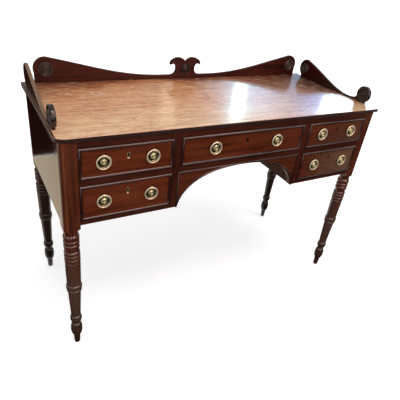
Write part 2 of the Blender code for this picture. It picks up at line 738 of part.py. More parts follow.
def build_drawer(name, centre_x, opening_width, bottom, top, pull_x, pull_lift, plate_mesh, ring_mesh):
    """One drawer on its slide: the beaded front, the oak box behind it, the lock and two ring pulls."""
    slide = bpy.data.objects.new("slide_" + name, None)
    slide.location = (centre_x, front_plane, (bottom + top) / 2)
    desk.objects.link(slide)
    width = opening_width - 2 * front_clearance
    height = top - bottom - 2 * front_clearance
    half = (top - bottom) / 2
    front = place("drawer_front_" + name, beaded_front_mesh("drawer_front_" + name, width, height),
                  red_mahogany, parent=slide)
    build_drawer_box(name, width, top - bottom - box_headroom, joint_gap - half, slide)
    keyhole_z = half - keyhole_below_top
    middle = front_thickness / 2
    cutter = prism("keyhole_" + name, keyhole_outline(joint_gap), 2 * front_thickness)
    combine(front, helper("keyhole_" + name, cutter, (0, middle, keyhole_z), FACE_FRONT, slide), "DIFFERENCE")
    liner_length = front_thickness + lock_thickness / 2
    lining = prism("lock_" + name, [keyhole_outline(), keyhole_outline(-keyhole_liner)], liner_length)
    lock = place("lock_" + name, lining, brass, (0, liner_length / 2, keyhole_z), FACE_FRONT, slide)
    case_mesh = box_mesh("lock_case_" + name, lock_width, lock_thickness, lock_height)
    case_place = (0, front_thickness + joint_gap + lock_thickness / 2, keyhole_z - keyhole_drop / 2)
    combine(lock, helper("lock_case_" + name, case_mesh, case_place, parent=slide), "UNION")
    for side, end in ((-1, "left"), (1, "right")):
        at = (side * pull_x, 0, pull_lift)
        hole_name = "stem_hole_" + name + "_" + end
        wide, deep = stem_radius + stem_clearance, front_thickness
        hole = turned(hole_name, [(0, deep), (wide, deep), (wide, -deep), (0, -deep)], stem_steps)
        cutter = helper(hole_name, hole, (at[0], middle, at[2]), FACE_FRONT, slide)
        combine(front, cutter, "DIFFERENCE")
        place("pull_plate_" + name + "_" + end, plate_mesh, brass, (at[0], -joint_gap, at[2]), parent=slide)
        pivot = (at[0], -joint_gap - eye_stand, at[2] + eye_height)
        place("ring_" + name + "_" + end, ring_mesh, brass, pivot, parent=slide)


def build_drawers():
    plate_mesh, ring_mesh = pull_meshes()
    side_width = post_inner - stile_outer
    side_centre = (post_inner + stile_outer) / 2
    for side, name in ((-1, "left"), (1, "right")):
        build_drawer("upper_" + name, side * side_centre, side_width, middle_rail_top, frieze_bottom,
                     side_width * pull_offset_share, upper_pull_lift, plate_mesh, ring_mesh)
        build_drawer("lower_" + name, side * side_centre, side_width, bottom_board_top, middle_rail_bottom,
                     side_width * pull_offset_share, lower_pull_lift, plate_mesh, ring_mesh)
    build_drawer("centre", 0, kneehole_width, middle_rail_top, frieze_bottom,
                 kneehole_width * centre_pull_offset_share, upper_pull_lift, plate_mesh, ring_mesh)


build_top()
build_gallery()
build_legs()
build_carcase()
build_apron()
build_drawers()
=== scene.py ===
import math

import bmesh
import bpy
from mathutils import Matrix, Vector


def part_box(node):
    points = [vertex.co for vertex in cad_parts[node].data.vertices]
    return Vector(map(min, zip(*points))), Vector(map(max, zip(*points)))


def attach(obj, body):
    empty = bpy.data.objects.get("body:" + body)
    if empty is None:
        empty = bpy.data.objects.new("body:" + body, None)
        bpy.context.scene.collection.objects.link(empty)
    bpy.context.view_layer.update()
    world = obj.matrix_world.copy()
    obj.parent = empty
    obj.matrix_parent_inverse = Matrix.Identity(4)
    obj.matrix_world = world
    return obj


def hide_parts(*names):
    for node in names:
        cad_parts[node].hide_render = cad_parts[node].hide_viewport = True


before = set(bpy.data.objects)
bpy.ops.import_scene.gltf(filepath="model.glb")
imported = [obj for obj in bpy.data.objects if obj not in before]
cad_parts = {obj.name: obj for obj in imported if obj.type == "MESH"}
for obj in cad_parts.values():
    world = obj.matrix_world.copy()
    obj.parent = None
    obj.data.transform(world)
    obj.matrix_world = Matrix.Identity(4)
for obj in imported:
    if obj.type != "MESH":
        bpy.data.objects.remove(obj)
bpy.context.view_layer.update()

# View and studio
# The camera stands close to the desk's left front corner and looks down on it, a little off level. The floor
# is pale paper. Soft lamps hang overhead and stand in front, and two windows at the back right show in the
# polish of the top. Cards that only polish sees shade or lighten what it mirrors.
eye = Vector((-0.79163, -1.22428, 1.23176))
view_yaw, view_pitch, view_roll = math.radians(33.014), math.radians(31.219), math.radians(-7.637)
lens_mm, sensor_mm = 36.75, 36.0
floor_radius, floor_gap, horizon = 60.0, 0.0002, 0.16
white = (1, 1, 1, 1)


def linear(hex_colour):
    """An sRGB hex colour as the linear RGBA that shaders take."""
    parts = [int(hex_colour[i:i + 2], 16) / 255 for i in (1, 3, 5)]
    return (*(c / 12.92 if c <= 0.04045 else ((c + 0.055) / 1.055) ** 2.4 for c in parts), 1.0)


def add(tree, kind, settings, output=0):
    """A shader node with its settings, as the output to link. A socket given for an input is linked.

    Colour stops go in as stops, and the two ends of a mapped range as From and To."""
    made = tree.nodes.new("ShaderNode" + kind)
    for ends in ("From", "To"):
        if ends in settings:
            settings[ends + " Min"], settings[ends + " Max"] = settings.pop(ends)
    for name, value in settings.items():
        if name == "stops":
            stops = made.color_ramp.elements
            for stop, (place, colour) in zip((stops[0], stops[-1]), (value[0], value[-1])):
                stop.position, stop.color = place, colour
            for place, colour in value[1:-1]:
                stops.new(place).color = colour
        elif isinstance(value, bpy.types.NodeSocket):
            tree.links.new(value, made.inputs[name])
        elif isinstance(name, int) or name in made.inputs:
            made.inputs[name].default_value = value
        else:
            setattr(made, name, value)
    return made.outputs[output] if len(made.outputs) else None


def mirrored_rays(tree):
    """1 on the rays that reach a place by way of polish, metal or glass."""
    return add(tree, "Math", {"operation": "MAXIMUM", 0: add(tree, "LightPath", {}, "Is Glossy Ray"),
                              1: add(tree, "LightPath", {}, "Is Transmission Ray")})


def placed(name, data):
    """A new object in the scene."""
    obj = bpy.data.objects.new(name, data)
    bpy.context.scene.collection.objects.link(obj)
    return obj


def shaped(name, work):
    """The mesh that a bmesh holds."""
    mesh = bpy.data.meshes.new(name)
    work.to_mesh(mesh)
    work.free()
    return mesh


def new_material(name):
    """A material and its node tree, which starts with a Principled shader."""
    material = bpy.data.materials.new(name)
    material.use_nodes = True
    return material, material.node_tree


flat = math.cos(view_pitch)
forward = Vector((math.sin(view_yaw) * flat, math.cos(view_yaw) * flat, -math.sin(view_pitch)))
level = Vector((math.cos(view_yaw), -math.sin(view_yaw), 0))
right = level * math.cos(view_roll) - level.cross(forward) * math.sin(view_roll)
camera = placed("camera", bpy.data.cameras.new("camera"))
camera.data.lens = lens_mm
camera.data.sensor_width = sensor_mm
camera.matrix_world = Matrix((right, right.cross(forward), -forward)).transposed().to_4x4()
camera.location = eye
bpy.context.scene.camera = camera
bpy.context.scene.view_settings.view_transform = "Standard"

sky = bpy.data.worlds.new("studio")
bpy.context.scene.world = sky
sky.use_nodes = True
tree = sky.node_tree
tree.nodes.clear()
height = add(tree, "SeparateXYZ", {"Vector": add(tree, "TexCoord", {}, "Generated")}, "Z")
dome = add(tree, "ValToRGB", {"Fac": height, "stops": [
    (0.0, (0.80, 0.80, 0.80, 1)), (horizon, (0.70, 0.70, 0.70, 1)), (0.22, (0.13, 0.13, 0.13, 1)),
    (0.52, (0.26, 0.26, 0.26, 1)), (0.64, (0.66, 0.65, 0.64, 1)), (1.0, (0.80, 0.79, 0.78, 1))]})
low = add(tree, "Math", {"operation": "LESS_THAN", 0: height, 1: horizon})
mirrored_low = add(tree, "Math", {"operation": "MULTIPLY", 0: mirrored_rays(tree), 1: low})
backdrop = add(tree, "Math", {
    "operation": "MAXIMUM", 0: add(tree, "LightPath", {}, "Is Camera Ray"), 1: mirrored_low})
seen = add(tree, "Mix", {"data_type": "RGBA", 0: backdrop, 6: dome, 7: white}, 2)
add(tree, "OutputWorld", {"Surface": add(tree, "Background", {"Color": seen, "Strength": 1.0})})

work = bmesh.new()
bmesh.ops.create_circle(work, cap_ends=True, segments=64, radius=floor_radius)
floor = placed("floor", shaped("floor", work))
floor.location.z = -floor_gap
paper, tree = new_material("matt_white_paper")
tree.nodes.clear()
seen = add(tree, "Math", {
    "operation": "MAXIMUM", 0: add(tree, "LightPath", {}, "Is Camera Ray"), 1: mirrored_rays(tree)})
away = add(tree, "VectorMath", {"operation": "LENGTH", 0: add(tree, "TexCoord", {}, "Object")}, "Value")
far = add(tree, "MapRange", {"Value": away, "From": (0.8, 3.5), "To": (0.50, 0.85)})
lift = add(tree, "Math", {"operation": "MULTIPLY", 0: seen, 1: far})
matt = add(tree, "BsdfDiffuse", {"Color": (0.82, 0.82, 0.82, 1)})
glow = add(tree, "Emission", {"Color": white, "Strength": lift})
add(tree, "OutputMaterial", {"Surface": add(tree, "AddShader", {0: matt, 1: glow})})
floor.data.materials.append(paper)


def softbox(name, place, aim, width, height, radiance, colour):
    """A soft rectangular light. Its power follows from its size and how bright its face is."""
    light = bpy.data.lights.new(name, "AREA")
    light.shape = "RECTANGLE"
    light.size, light.size_y = width, height
    light.energy = radiance * math.pi * width * height
    light.color = linear(colour)[:3]
    lamp = placed(name, light)
    lamp.location = place
    lamp.rotation_euler = (Vector(aim) - Vector(place)).to_track_quat("-Z", "Y").to_euler()
    lamp.visible_camera = False


softbox("overhead_left", (-0.4, -1.3, 3.1), (-0.1, -0.1, 0.7), 1.1, 1.0, 5.8, "#FFF6EC")
softbox("overhead_right", (1.4, -0.9, 3.1), (0.1, -0.1, 0.7), 1.1, 1.0, 5.8, "#FFF6EC")
softbox("front_fill", (-1.6, -3.2, 1.9), (0, 0, 0.6), 1.6, 1.4, 1.1, "#FFF4EA")
softbox("front_window", (-0.95, -3.1, 1.9), (-0.3, 0, 0.5), 0.45, 0.8, 9.0, "#FAF6FF")
softbox("tall_window_left", (-3.2, -1.9, 1.9), (-0.5, -0.2, 0.5), 0.35, 1.3, 7.0, "#F6F4FF")
softbox("tall_window_right", (1.9, -2.9, 2.0), (-0.1, -0.2, 0.5), 0.35, 1.3, 5.0, "#F6F4FF")
softbox("narrow_window", (2.084, 2.652, 1.83), (0.1, 0, 0.79), 0.14, 0.42, 8.0, "#E4F0FF")
softbox("wide_window", (3.39, 1.98, 1.98), (0.4, -0.1, 0.79), 0.88, 0.46, 9.0, "#EEF4FF")


def card(name, centre, across, up, colour, glow=1.0, soft=0.02):
    """A photographer's card, which shades or lightens what polished surfaces mirror and shows nowhere else.

    It fades out towards its rim, over the share that soft gives."""
    mesh = bpy.data.meshes.new(name)
    mesh.from_pydata([(-1, -1, 0), (1, -1, 0), (1, 1, 0), (-1, 1, 0)], [], [(0, 1, 2, 3)])
    obj = placed(name, mesh)
    across, up = Vector(across) / 2, Vector(up) / 2
    obj.matrix_world = Matrix((across, up, across.cross(up).normalized())).transposed().to_4x4()
    obj.location = centre
    obj.visible_camera = obj.visible_diffuse = obj.visible_shadow = False
    paint, tree = new_material(name)
    tree.nodes.clear()
    spot = add(tree, "VectorMath", {"operation": "ABSOLUTE", 0: add(tree, "TexCoord", {}, "Object")})
    cover = 1.0
    for axis in "XY":
        fade = add(tree, "MapRange", {
            "interpolation_type": "SMOOTHSTEP", "Value": add(tree, "SeparateXYZ", {"Vector": spot}, axis),
            "From": (1.0 - soft, 1.0), "To": (1.0, 0.0)})
        cover = add(tree, "Math", {"operation": "MULTIPLY", 0: cover, 1: fade})
    tone = add(tree, "Emission", {"Color": linear(colour), "Strength": glow})
    shown = add(tree, "MixShader", {0: cover, 1: add(tree, "BsdfTransparent", {}), 2: tone})
    add(tree, "OutputMaterial", {"Surface": shown})
    mesh.materials.append(paint)


card("dark_card_behind", (-1.2, 1.28, 0.45), (2.4, 0, 0), (0, 0, 0.9), "#100A0A")
card("tan_card_behind", (-1.3, 0.79, 0.001), (2.2, 0, 0), (0, 0.98, 0), "#E2D0B4")
card("dark_card_in_front", (0.6, -2.1, 0.001), (7.6, 0, 0), (0, 4.6, 0), "#2A1C18")
card("pale_wall_in_front", (0.70, -2.55, 2.75), (1.9, 0.9, 0), (-0.8, 1.4, 3.6), "#FFCCC0", 7.5, 0.6)
card("dark_wall_at_right", (2.40, -1.75, 2.75), (2.1, 1.3, 0), (-0.9, 1.0, 3.0), "#241A18", 1.0, 0.3)
card("pale_wall_at_left", (-2.3, 2.1, 2.1), (1.3, 1.1, 0), (0.4, -0.4, 1.3), "#F4E4D4", 2.6, 0.6)
card("narrow_window_glow", (2.58, 3.31, 2.22), (0.50, -0.38, 0), (-0.16, -0.20, 1.10), "#78E0F8", 3.2, 1.0)
card("wide_window_glow", (4.16, 2.84, 2.18), (1.20, -1.70, 0), (-0.40, -0.28, 1.40), "#5CA8F4", 3.8, 0.9)
card("far_window_glow", (2.03, 4.42, 2.52), (0.26, -0.13, 0), (-0.14, -0.30, 0.70), "#FFF0DC", 1.5, 0.7)
card("window_haze", (2.95, 3.50, 2.12), (1.35, -1.05, 0), (-0.39, -0.52, 0.90), "#C4DCFF", 3.3, 1.0)


# Legs
# Each leg and the square post above it are one length of mahogany. The post is square where the rails join it
# and rounded at its outer corner. Below, the wood is turned to rings, a collared taper and a peg foot.
leg_steps, leg_radius = 56, 0.025
post_size, post_corner_radius = 0.048, 0.016
post_top, post_bottom, post_shoulder = 0.7767, 0.4925, 0.007
tenon = 0.012
foot_radii = ((0.0114, 0.072), (0.0098, 0.012))
arris, board_angle = 0.0006, 38


def arc(centre, radius, start, end, steps=24):
    """Points of an arc from start to end in degrees."""
    angles = [math.radians(start + (end - start) * i / steps) for i in range(steps + 1)]
    return [(centre[0] + radius * math.cos(a), centre[1] + radius * math.sin(a)) for a in angles]


def half_round(top, bottom, waist, radius, steps=8):
    """The outer side of a turned ring between two heights, from its waist out to its radius and back."""
    middle, half = (top + bottom) / 2, (top - bottom) / 2
    angles = [math.pi / 2 - math.pi * i / steps for i in range(steps + 1)]
    return [(waist + (radius - waist) * math.cos(a), middle + half * math.sin(a)) for a in angles]


def lathe(name, profile, steps, closed=False):
    """A shape turned about Z, from a profile of (radius, height) that ends on the axis or is closed."""
    work = bmesh.new()
    points = [work.verts.new((radius, 0, height)) for radius, height in profile]
    edges = [work.edges.new(pair) for pair in zip(points, points[1:] + points[:1] * closed)]
    bmesh.ops.spin(work, geom=points + edges, axis=(0, 0, 1), cent=(0, 0, 0), steps=steps, angle=2 * math.pi,
                   use_merge=True)
    bmesh.ops.remove_doubles(work, verts=work.verts, dist=1e-6)
    bmesh.ops.recalc_face_normals(work, faces=work.faces)
    return shaped(name, work)


def board(name, outline, thickness, soft=0.0, segments=2):
    """A flat board of an outline in the XY plane, centred on it, with its rims softened."""
    work = bmesh.new()
    kept = [p for i, p in enumerate(outline) if math.dist(p, outline[i - 1]) > 1e-5]
    face = work.faces.new([work.verts.new((x, y, -thickness / 2)) for x, y in kept])
    top = bmesh.ops.extrude_face_region(work, geom=[face])["geom"]
    raised = [v for v in top if isinstance(v, bmesh.types.BMVert)]
    bmesh.ops.translate(work, vec=(0, 0, thickness), verts=raised)
    bmesh.ops.recalc_face_normals(work, faces=work.faces)
    if soft:
        rims = [e for e in work.edges if abs(e.verts[0].co.z - e.verts[1].co.z) < 1e-6]
        bmesh.ops.bevel(work, geom=rims, offset=soft, segments=segments, profile=0.5, affect="EDGES")
    return shaped(name, work)


def baked(obj, name):
    """The mesh that an object shows with its modifiers. The object itself is removed."""
    bpy.context.view_layer.update()
    mesh = bpy.data.meshes.new_from_object(obj.evaluated_get(bpy.context.evaluated_depsgraph_get()))
    mesh.name = name
    bpy.data.objects.remove(obj)
    return mesh


def combined(name, mesh, steps):
    """A mesh joined with, or cut by, other meshes: steps holds pairs of an operation and a mesh."""
    obj = placed(name, mesh)
    helpers = []
    for i, (operation, other) in enumerate(steps):
        helpers.append(placed(f"{name}_helper_{i}", other))
        modifier = obj.modifiers.new("combine", "BOOLEAN")
        modifier.operation, modifier.object = operation, helpers[-1]
    result = baked(obj, name)
    for helper in helpers:
        bpy.data.objects.remove(helper)
    return result


def piece(name, mesh, place, material, body, slot, *stands_for, angle=32):
    """A finished piece: its mesh goes to its place in the desk, and it rides on a body for some CAD nodes.

    Edges sharper than angle stay sharp. A small angle is for boards: their normals are evened too, so that
    wide faces mirror as flat."""
    mesh.transform(place)
    mesh.materials.clear()
    mesh.materials.append(material)
    mesh.shade_smooth()
    mesh.set_sharp_from_angle(angle=math.radians(angle))
    obj = placed(name, mesh)
    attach(obj, body)
    if angle <= board_angle:
        obj.modifiers.new("even_normals", "WEIGHTED_NORMAL").keep_sharp = True
    if stands_for:
        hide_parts(*stands_for)


def coordinate(tree, axis):
    """The place in the desk along one of its axes, in metres."""
    return add(tree, "SeparateXYZ", {"Vector": add(tree, "TexCoord", {}, "Object")}, axis)


def tint(material, share, colour, blend="MIX"):
    """Lays a colour over the one that a material shows so far, by a share of 0 to 1."""
    tree = material.node_tree
    base = tree.nodes["Principled BSDF"].inputs["Base Color"]
    laid = add(tree, "Mix", {
        "data_type": "RGBA", "blend_type": blend, 0: share, 6: base.links[0].from_socket, 7: colour}, 2)
    tree.links.new(laid, base)


def mahogany(name, grain, dark, light, mellow, gloss, level, greyed=None):
    """French-polished mahogany: a close straight grain with pores along it, under a thin worn film of polish.

    grain gives the axis that the fibres follow. gloss is the polish's roughness and level its reflectivity.
    greyed gives the colour of wood whose polish is worn and dusty towards the floor. The pores are drawn
    about four times as wide as real ones, so that they show."""
    material, tree = new_material(name)
    shader = tree.nodes["Principled BSDF"].inputs
    place = add(tree, "TexCoord", {}, "Object")
    patterns = []
    for along_mm, across_mm, detail, rough, warp in (
            (240, 14, 5.0, 0.62, 0.5), (14, 0.9, 2.0, 0.5, 0.0), (260, 110, 3.0, 0.5, 0.0)):
        scale = [1000 / across_mm] * 3
        scale["XYZ".index(grain)] = 1000 / along_mm
        patterns.append(add(tree, "TexNoise", {
            "Vector": add(tree, "Mapping", {"Vector": place, "Scale": scale}), "Scale": 1.0, "Detail": detail,
            "Roughness": rough, "Distortion": warp}))
    figure, pores, patches = patterns
    streaks = add(tree, "ValToRGB", {"Fac": figure, "stops": [(0.34, linear(dark)), (0.62, linear(light))]})
    tree.links.new(streaks, shader["Base Color"])
    age = add(tree, "MapRange", {"Value": patches, "From": (0.35, 0.72), "To": (0, 0.5)})
    tint(material, age, linear(mellow))
    pitted = add(tree, "MapRange", {"Value": pores, "From": (0.28, 0.46), "To": (0.45, 1.0)})
    tint(material, 1.0, pitted, "MULTIPLY")
    if greyed:
        rise = coordinate(tree, "Z")
        dusty = add(tree, "MapRange", {"Value": rise, "From": (0.46, 0.26), "To": (0, 0.85)})
        grime = add(tree, "MapRange", {"Value": rise, "From": (0.0, 0.22), "To": (0.30, 1.0)})
        tint(material, dusty, add(tree, "Mix", {
            "data_type": "RGBA", "blend_type": "MULTIPLY", 0: 1.0, 6: linear(greyed), 7: grime}, 2))
    wear = add(tree, "MapRange", {"Value": patches, "From": (0.3, 0.7), "To": (gloss, gloss * 1.5)})
    tree.links.new(wear, shader["Roughness"])
    bump = add(tree, "Bump", {"Height": pores, "Strength": min(0.22, gloss), "Distance": 0.0004})
    tree.links.new(bump, shader["Normal"])
    shader["IOR"].default_value = 1.5
    shader["Specular IOR Level"].default_value = level
    return material


def leg_profile():
    """The turned leg from inside its post down to the floor, as (radius, height)."""
    height = lambda share: post_bottom * share
    radius = leg_radius
    neck = radius * 0.82
    profile = [(0, post_bottom + tenon), (neck, post_bottom + tenon), (neck, height(0.968))]
    for top, bottom, waist in ((0.963, 0.925, 0.86), (0.925, 0.897, 0.88), (0.897, 0.858, 0.82)):
        profile += half_round(height(top), height(bottom), radius * waist, radius * 0.985)
    profile.append((neck, height(0.849)))
    for top, bottom, waist in ((0.841, 0.812, 0.84), (0.812, 0.783, 0.90), (0.783, 0.750, 0.90)):
        profile += half_round(height(top), height(bottom), radius * waist, radius * 0.99)
    profile += [(radius * 0.94, height(0.746)), (radius * 0.955, height(0.738)),
                (radius * 0.885, height(0.566))]
    profile += half_round(height(0.562), height(0.520), radius * 0.88, radius * 1.01)
    profile += half_round(height(0.518), height(0.502), radius * 0.86, radius * 0.95, 5)
    profile += [(radius * 0.82, height(0.494)), (radius * 0.63, height(0.275))]
    profile += half_round(height(0.270), height(0.216), radius * 0.58, radius * 0.775)
    profile.append((radius * 0.55, height(0.202)))
    profile += half_round(height(0.196), height(0.088), radius * 0.50, radius * 0.775, 14)
    profile += [(foot, height(share)) for foot, share in foot_radii]
    return profile + [(0.0088, arris), (0.0080, 0), (0, 0)]


# The front legs shine on their rings, and the rounded corners of their posts are paler, partly worn and
# partly a painted highlight. The back ones take a darker, duller copy of the polish as painted shade, for the
# desk's shade they stand in.
turned_mahogany = mahogany("turned_mahogany", "Z", "#30110A", "#5A2816", "#64341F", 0.13, 0.85, "#4A382E")
shade_painted_mahogany = mahogany("shade_painted_mahogany", "Z", "#1E0A07", "#36160E", "#402018", 0.15, 0.45, "#281C18")
tree = turned_mahogany.node_tree
# A paler band on the front posts' rounded corners, where the normal turns a little from the front to the
# side: partly wear, partly a painted highlight.
way = add(tree, "VectorMath", {"operation": "ABSOLUTE", 0: add(tree, "NewGeometry", {}, "Normal")})
aside = add(tree, "SeparateXYZ", {"Vector": way}, "X")
rise = coordinate(tree, "Z")
above = add(tree, "MapRange", {"Value": rise, "From": (0.46, 0.52), "To": (0, 0.5)})
near = add(tree, "MapRange", {"Value": aside, "From": (0.08, 0.30), "To": (0, above)})
corner_wear_and_highlight = add(tree, "MapRange", {"Value": aside, "From": (0.55, 0.32), "To": (0, near)})
tint(turned_mahogany, corner_wear_and_highlight, linear("#7E4A2E"))
half = post_size / 2
post_plan = [(half, -half), (half, half), (-half, half)]
post_plan += arc((post_corner_radius - half, post_corner_radius - half), post_corner_radius, 180, 270, 14)
post_height = post_top - post_bottom
shoulder = [(0, post_top + tenon), (post_size * 0.80, post_top + tenon)]
shoulder += [(post_size * out, post_bottom + post_shoulder * up)
             for out, up in ((0.80, 1.6), (0.68, 1.0), (0.60, 0.45), (0.50, 0), (0, 0))]
for turns, name in enumerate(("front_left", "front_right", "back_right", "back_left")):
    low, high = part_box("leg_" + name)
    turn = Matrix.Rotation(turns * math.pi / 2, 4, "Z")
    place = Matrix.Translation(((low.x + high.x) / 2, (low.y + high.y) / 2, 0)) @ turn
    post = board("post", post_plan, post_height, arris)
    post.transform(Matrix.Translation((0, 0, post_bottom + post_height / 2)))
    mesh = combined("leg", post, [("INTERSECT", lathe("shoulder", shoulder, leg_steps)),
                                  ("UNION", lathe("turning", leg_profile(), leg_steps))])
    # The back legs take the darker copy of the polish, which is painted shade.
    finish = shade_painted_mahogany if "back" in name else turned_mahogany
    piece("leg_" + name + "_turned", mesh, place, finish, "carcase", "turned_mahogany", "leg_" + name,
          angle=board_angle)


# Carcase boards
# Mahogany panels, rails and partitions, jointed into the posts and dark with old polish. Their arrises are
# softened by hand, and the boards inside, which carry the drawers, are plainer and drier.
dark_rails, dark_uprights = (
    mahogany("dark_mahogany_" + use, grain, "#260C07", "#431A0D", "#4A2011", 0.26, 0.14)
    for use, grain in (("rails", "X"), ("uprights", "Z")))
dark_sides = mahogany("dark_mahogany_sides", "Y", "#220A07", "#34120C", "#3B1810", 0.09, 0.50)


def keep(node, material):
    """Keeps a CAD node, with its own material and with softened arrises."""
    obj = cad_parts[node]
    sharp = math.radians(35)
    obj.data.materials.clear()
    obj.data.materials.append(material)
    obj.modifiers.new("weld", "WELD").merge_threshold = 0.00001
    bevel = obj.modifiers.new("arris", "BEVEL")
    bevel.width, bevel.segments = arris, 2
    bevel.limit_method, bevel.angle_limit = "ANGLE", sharp
    obj.data.shade_smooth()
    obj.data.set_sharp_from_angle(angle=sharp)
    obj.modifiers.new("even_normals", "WEIGHTED_NORMAL").keep_sharp = True


for node in ("frieze_rail", "centre_board", "back_panel"):
    keep(node, dark_rails)
for side in ("left", "right"):
    keep("mid_board_" + side, dark_rails)
    keep("bottom_board_" + side, dark_rails)
    keep("partition_" + side, dark_uprights)
    keep("side_panel_" + side, dark_sides)


# Apron
# A mahogany board under the centre rail, sawn to a flat arch between the pedestals. A half round bead is
# glued along its top and sides and another follows the arch.
apron_low, apron_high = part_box("apron")
bead_radius = 0.0035
arch_rise, arch_flat_share, arch_foot_share = 0.1225, 0.83, 0.30
joint, bead_angle = 0.0003, 60


def sweep(start, start_handle, end_handle, end, steps=32):
    """Points of a smooth curve between two ends, each with the handle that sets its direction."""
    points = []
    for t in (i / steps for i in range(steps + 1)):
        pulls = list(zip(((1 - t) ** 3, 3 * t * (1 - t) ** 2, 3 * t * t * (1 - t), t ** 3),
                         (start, start_handle, end_handle, end)))
        points.append(tuple(sum(pull * point[k] for pull, point in pulls) for k in (0, 1)))
    return points


def mirrored(points):
    """The right half of an outline, from the bottom up to the middle, with its left half added."""
    return points + [(-x, z) for x, z in reversed(points)]


def bead(name, points, radius):
    """A round bead along an open line in the XY plane, with closed ends."""
    curve = bpy.data.curves.new(name, "CURVE")
    curve.dimensions = "3D"
    curve.bevel_depth = radius
    curve.bevel_resolution = 5
    curve.use_fill_caps = True
    spline = curve.splines.new("POLY")
    spline.points.add(len(points) - 1)
    for point, (x, y) in zip(spline.points, points):
        point.co = (x, y, 0, 1)
    return baked(placed(name, curve), name)


# The apron has the red of the drawers, and the beads are nearly black with polish that has gathered on them.
apron_mahogany = mahogany("apron_mahogany", "X", "#301106", "#56240F", "#5E2C16", 0.26, 0.16)
bead_polish = mahogany("bead_mahogany", "X", "#1A0907", "#30120D", "#381A14", 0.17, 0.70)
upright = Matrix.Rotation(math.pi / 2, 4, "X")
half = apron_high.x
springing = apron_low.z
foot = (half - 2 * bead_radius - 2 * joint, springing)
crown = (0, springing + arch_rise)
arch = sweep(foot, (foot[0] - 2 * bead_radius, foot[1] + arch_rise * arch_foot_share),
             (foot[0] * arch_flat_share, crown[1]), crown)
apron_plan = mirrored([(half, apron_high.z), (half, springing)] + arch)
apron_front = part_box("frieze_rail")[0].y
apron_back = apron_high.y
apron_place = Matrix.Translation((0, (apron_front + apron_back) / 2, 0)) @ upright
apron_board = board("apron", apron_plan, apron_back - apron_front)
piece("apron_board", apron_board, apron_place, apron_mahogany, "carcase", "dark_mahogany", "apron")
inset = bead_radius + joint
frame_line = [(half - inset, springing + joint), (half - inset, apron_high.z - inset)]
arch_line = [(foot[0] + inset, springing + 3 * joint)]
for before, point, after in zip(arch, arch[1:], arch[2:]):
    run, rise = after[0] - before[0], after[1] - before[1]
    length = math.hypot(run, rise)
    arch_line.append((point[0] + inset * rise / length, point[1] - inset * run / length))
arch_line.append((0, crown[1] + inset))
bead_place = Matrix.Translation((0, apron_front + joint, 0)) @ upright
for name, line, radius in (("frame", frame_line, bead_radius), ("arch", arch_line, bead_radius * 0.8)):
    piece("apron_bead_" + name, bead("bead", mirrored(line), radius), bead_place, bead_polish, "carcase",
          "dark_mahogany", angle=bead_angle)


# Top board
# One wide mahogany board, faded to orange brown by the sun on its upper face and still dark on its edge.
# Painted shade and reflection of the gallery darken it at the back and beside the boards. The polish is thin
# and glossy, with scratches and pale stains, and its arris is rubbed pale, with a painted highlight.
top_low, top_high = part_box("top_board")
top_width, top_depth, top_thickness = top_high - top_low
top_z = top_high.z
left_radius, right_radius, back_radius = 0.030, 0.009, 0.00325
# The pale arris band is rubbed wood and a painted highlight.
top_arris, arris_wear_and_highlight, edge_dark = 0.0014, (-0.0001, -0.0004), (-0.0009, -0.0013)
half, deep = top_width / 2, top_depth / 2
top_plan = arc((half - back_radius, deep - back_radius), back_radius, 0, 90, 6)
top_plan += arc((back_radius - half, deep - back_radius), back_radius, 90, 180, 6)
top_plan += arc((left_radius - half, left_radius - deep), left_radius, 180, 270, 24)
top_plan += arc((half - right_radius, right_radius - deep), right_radius, 270, 360, 12)


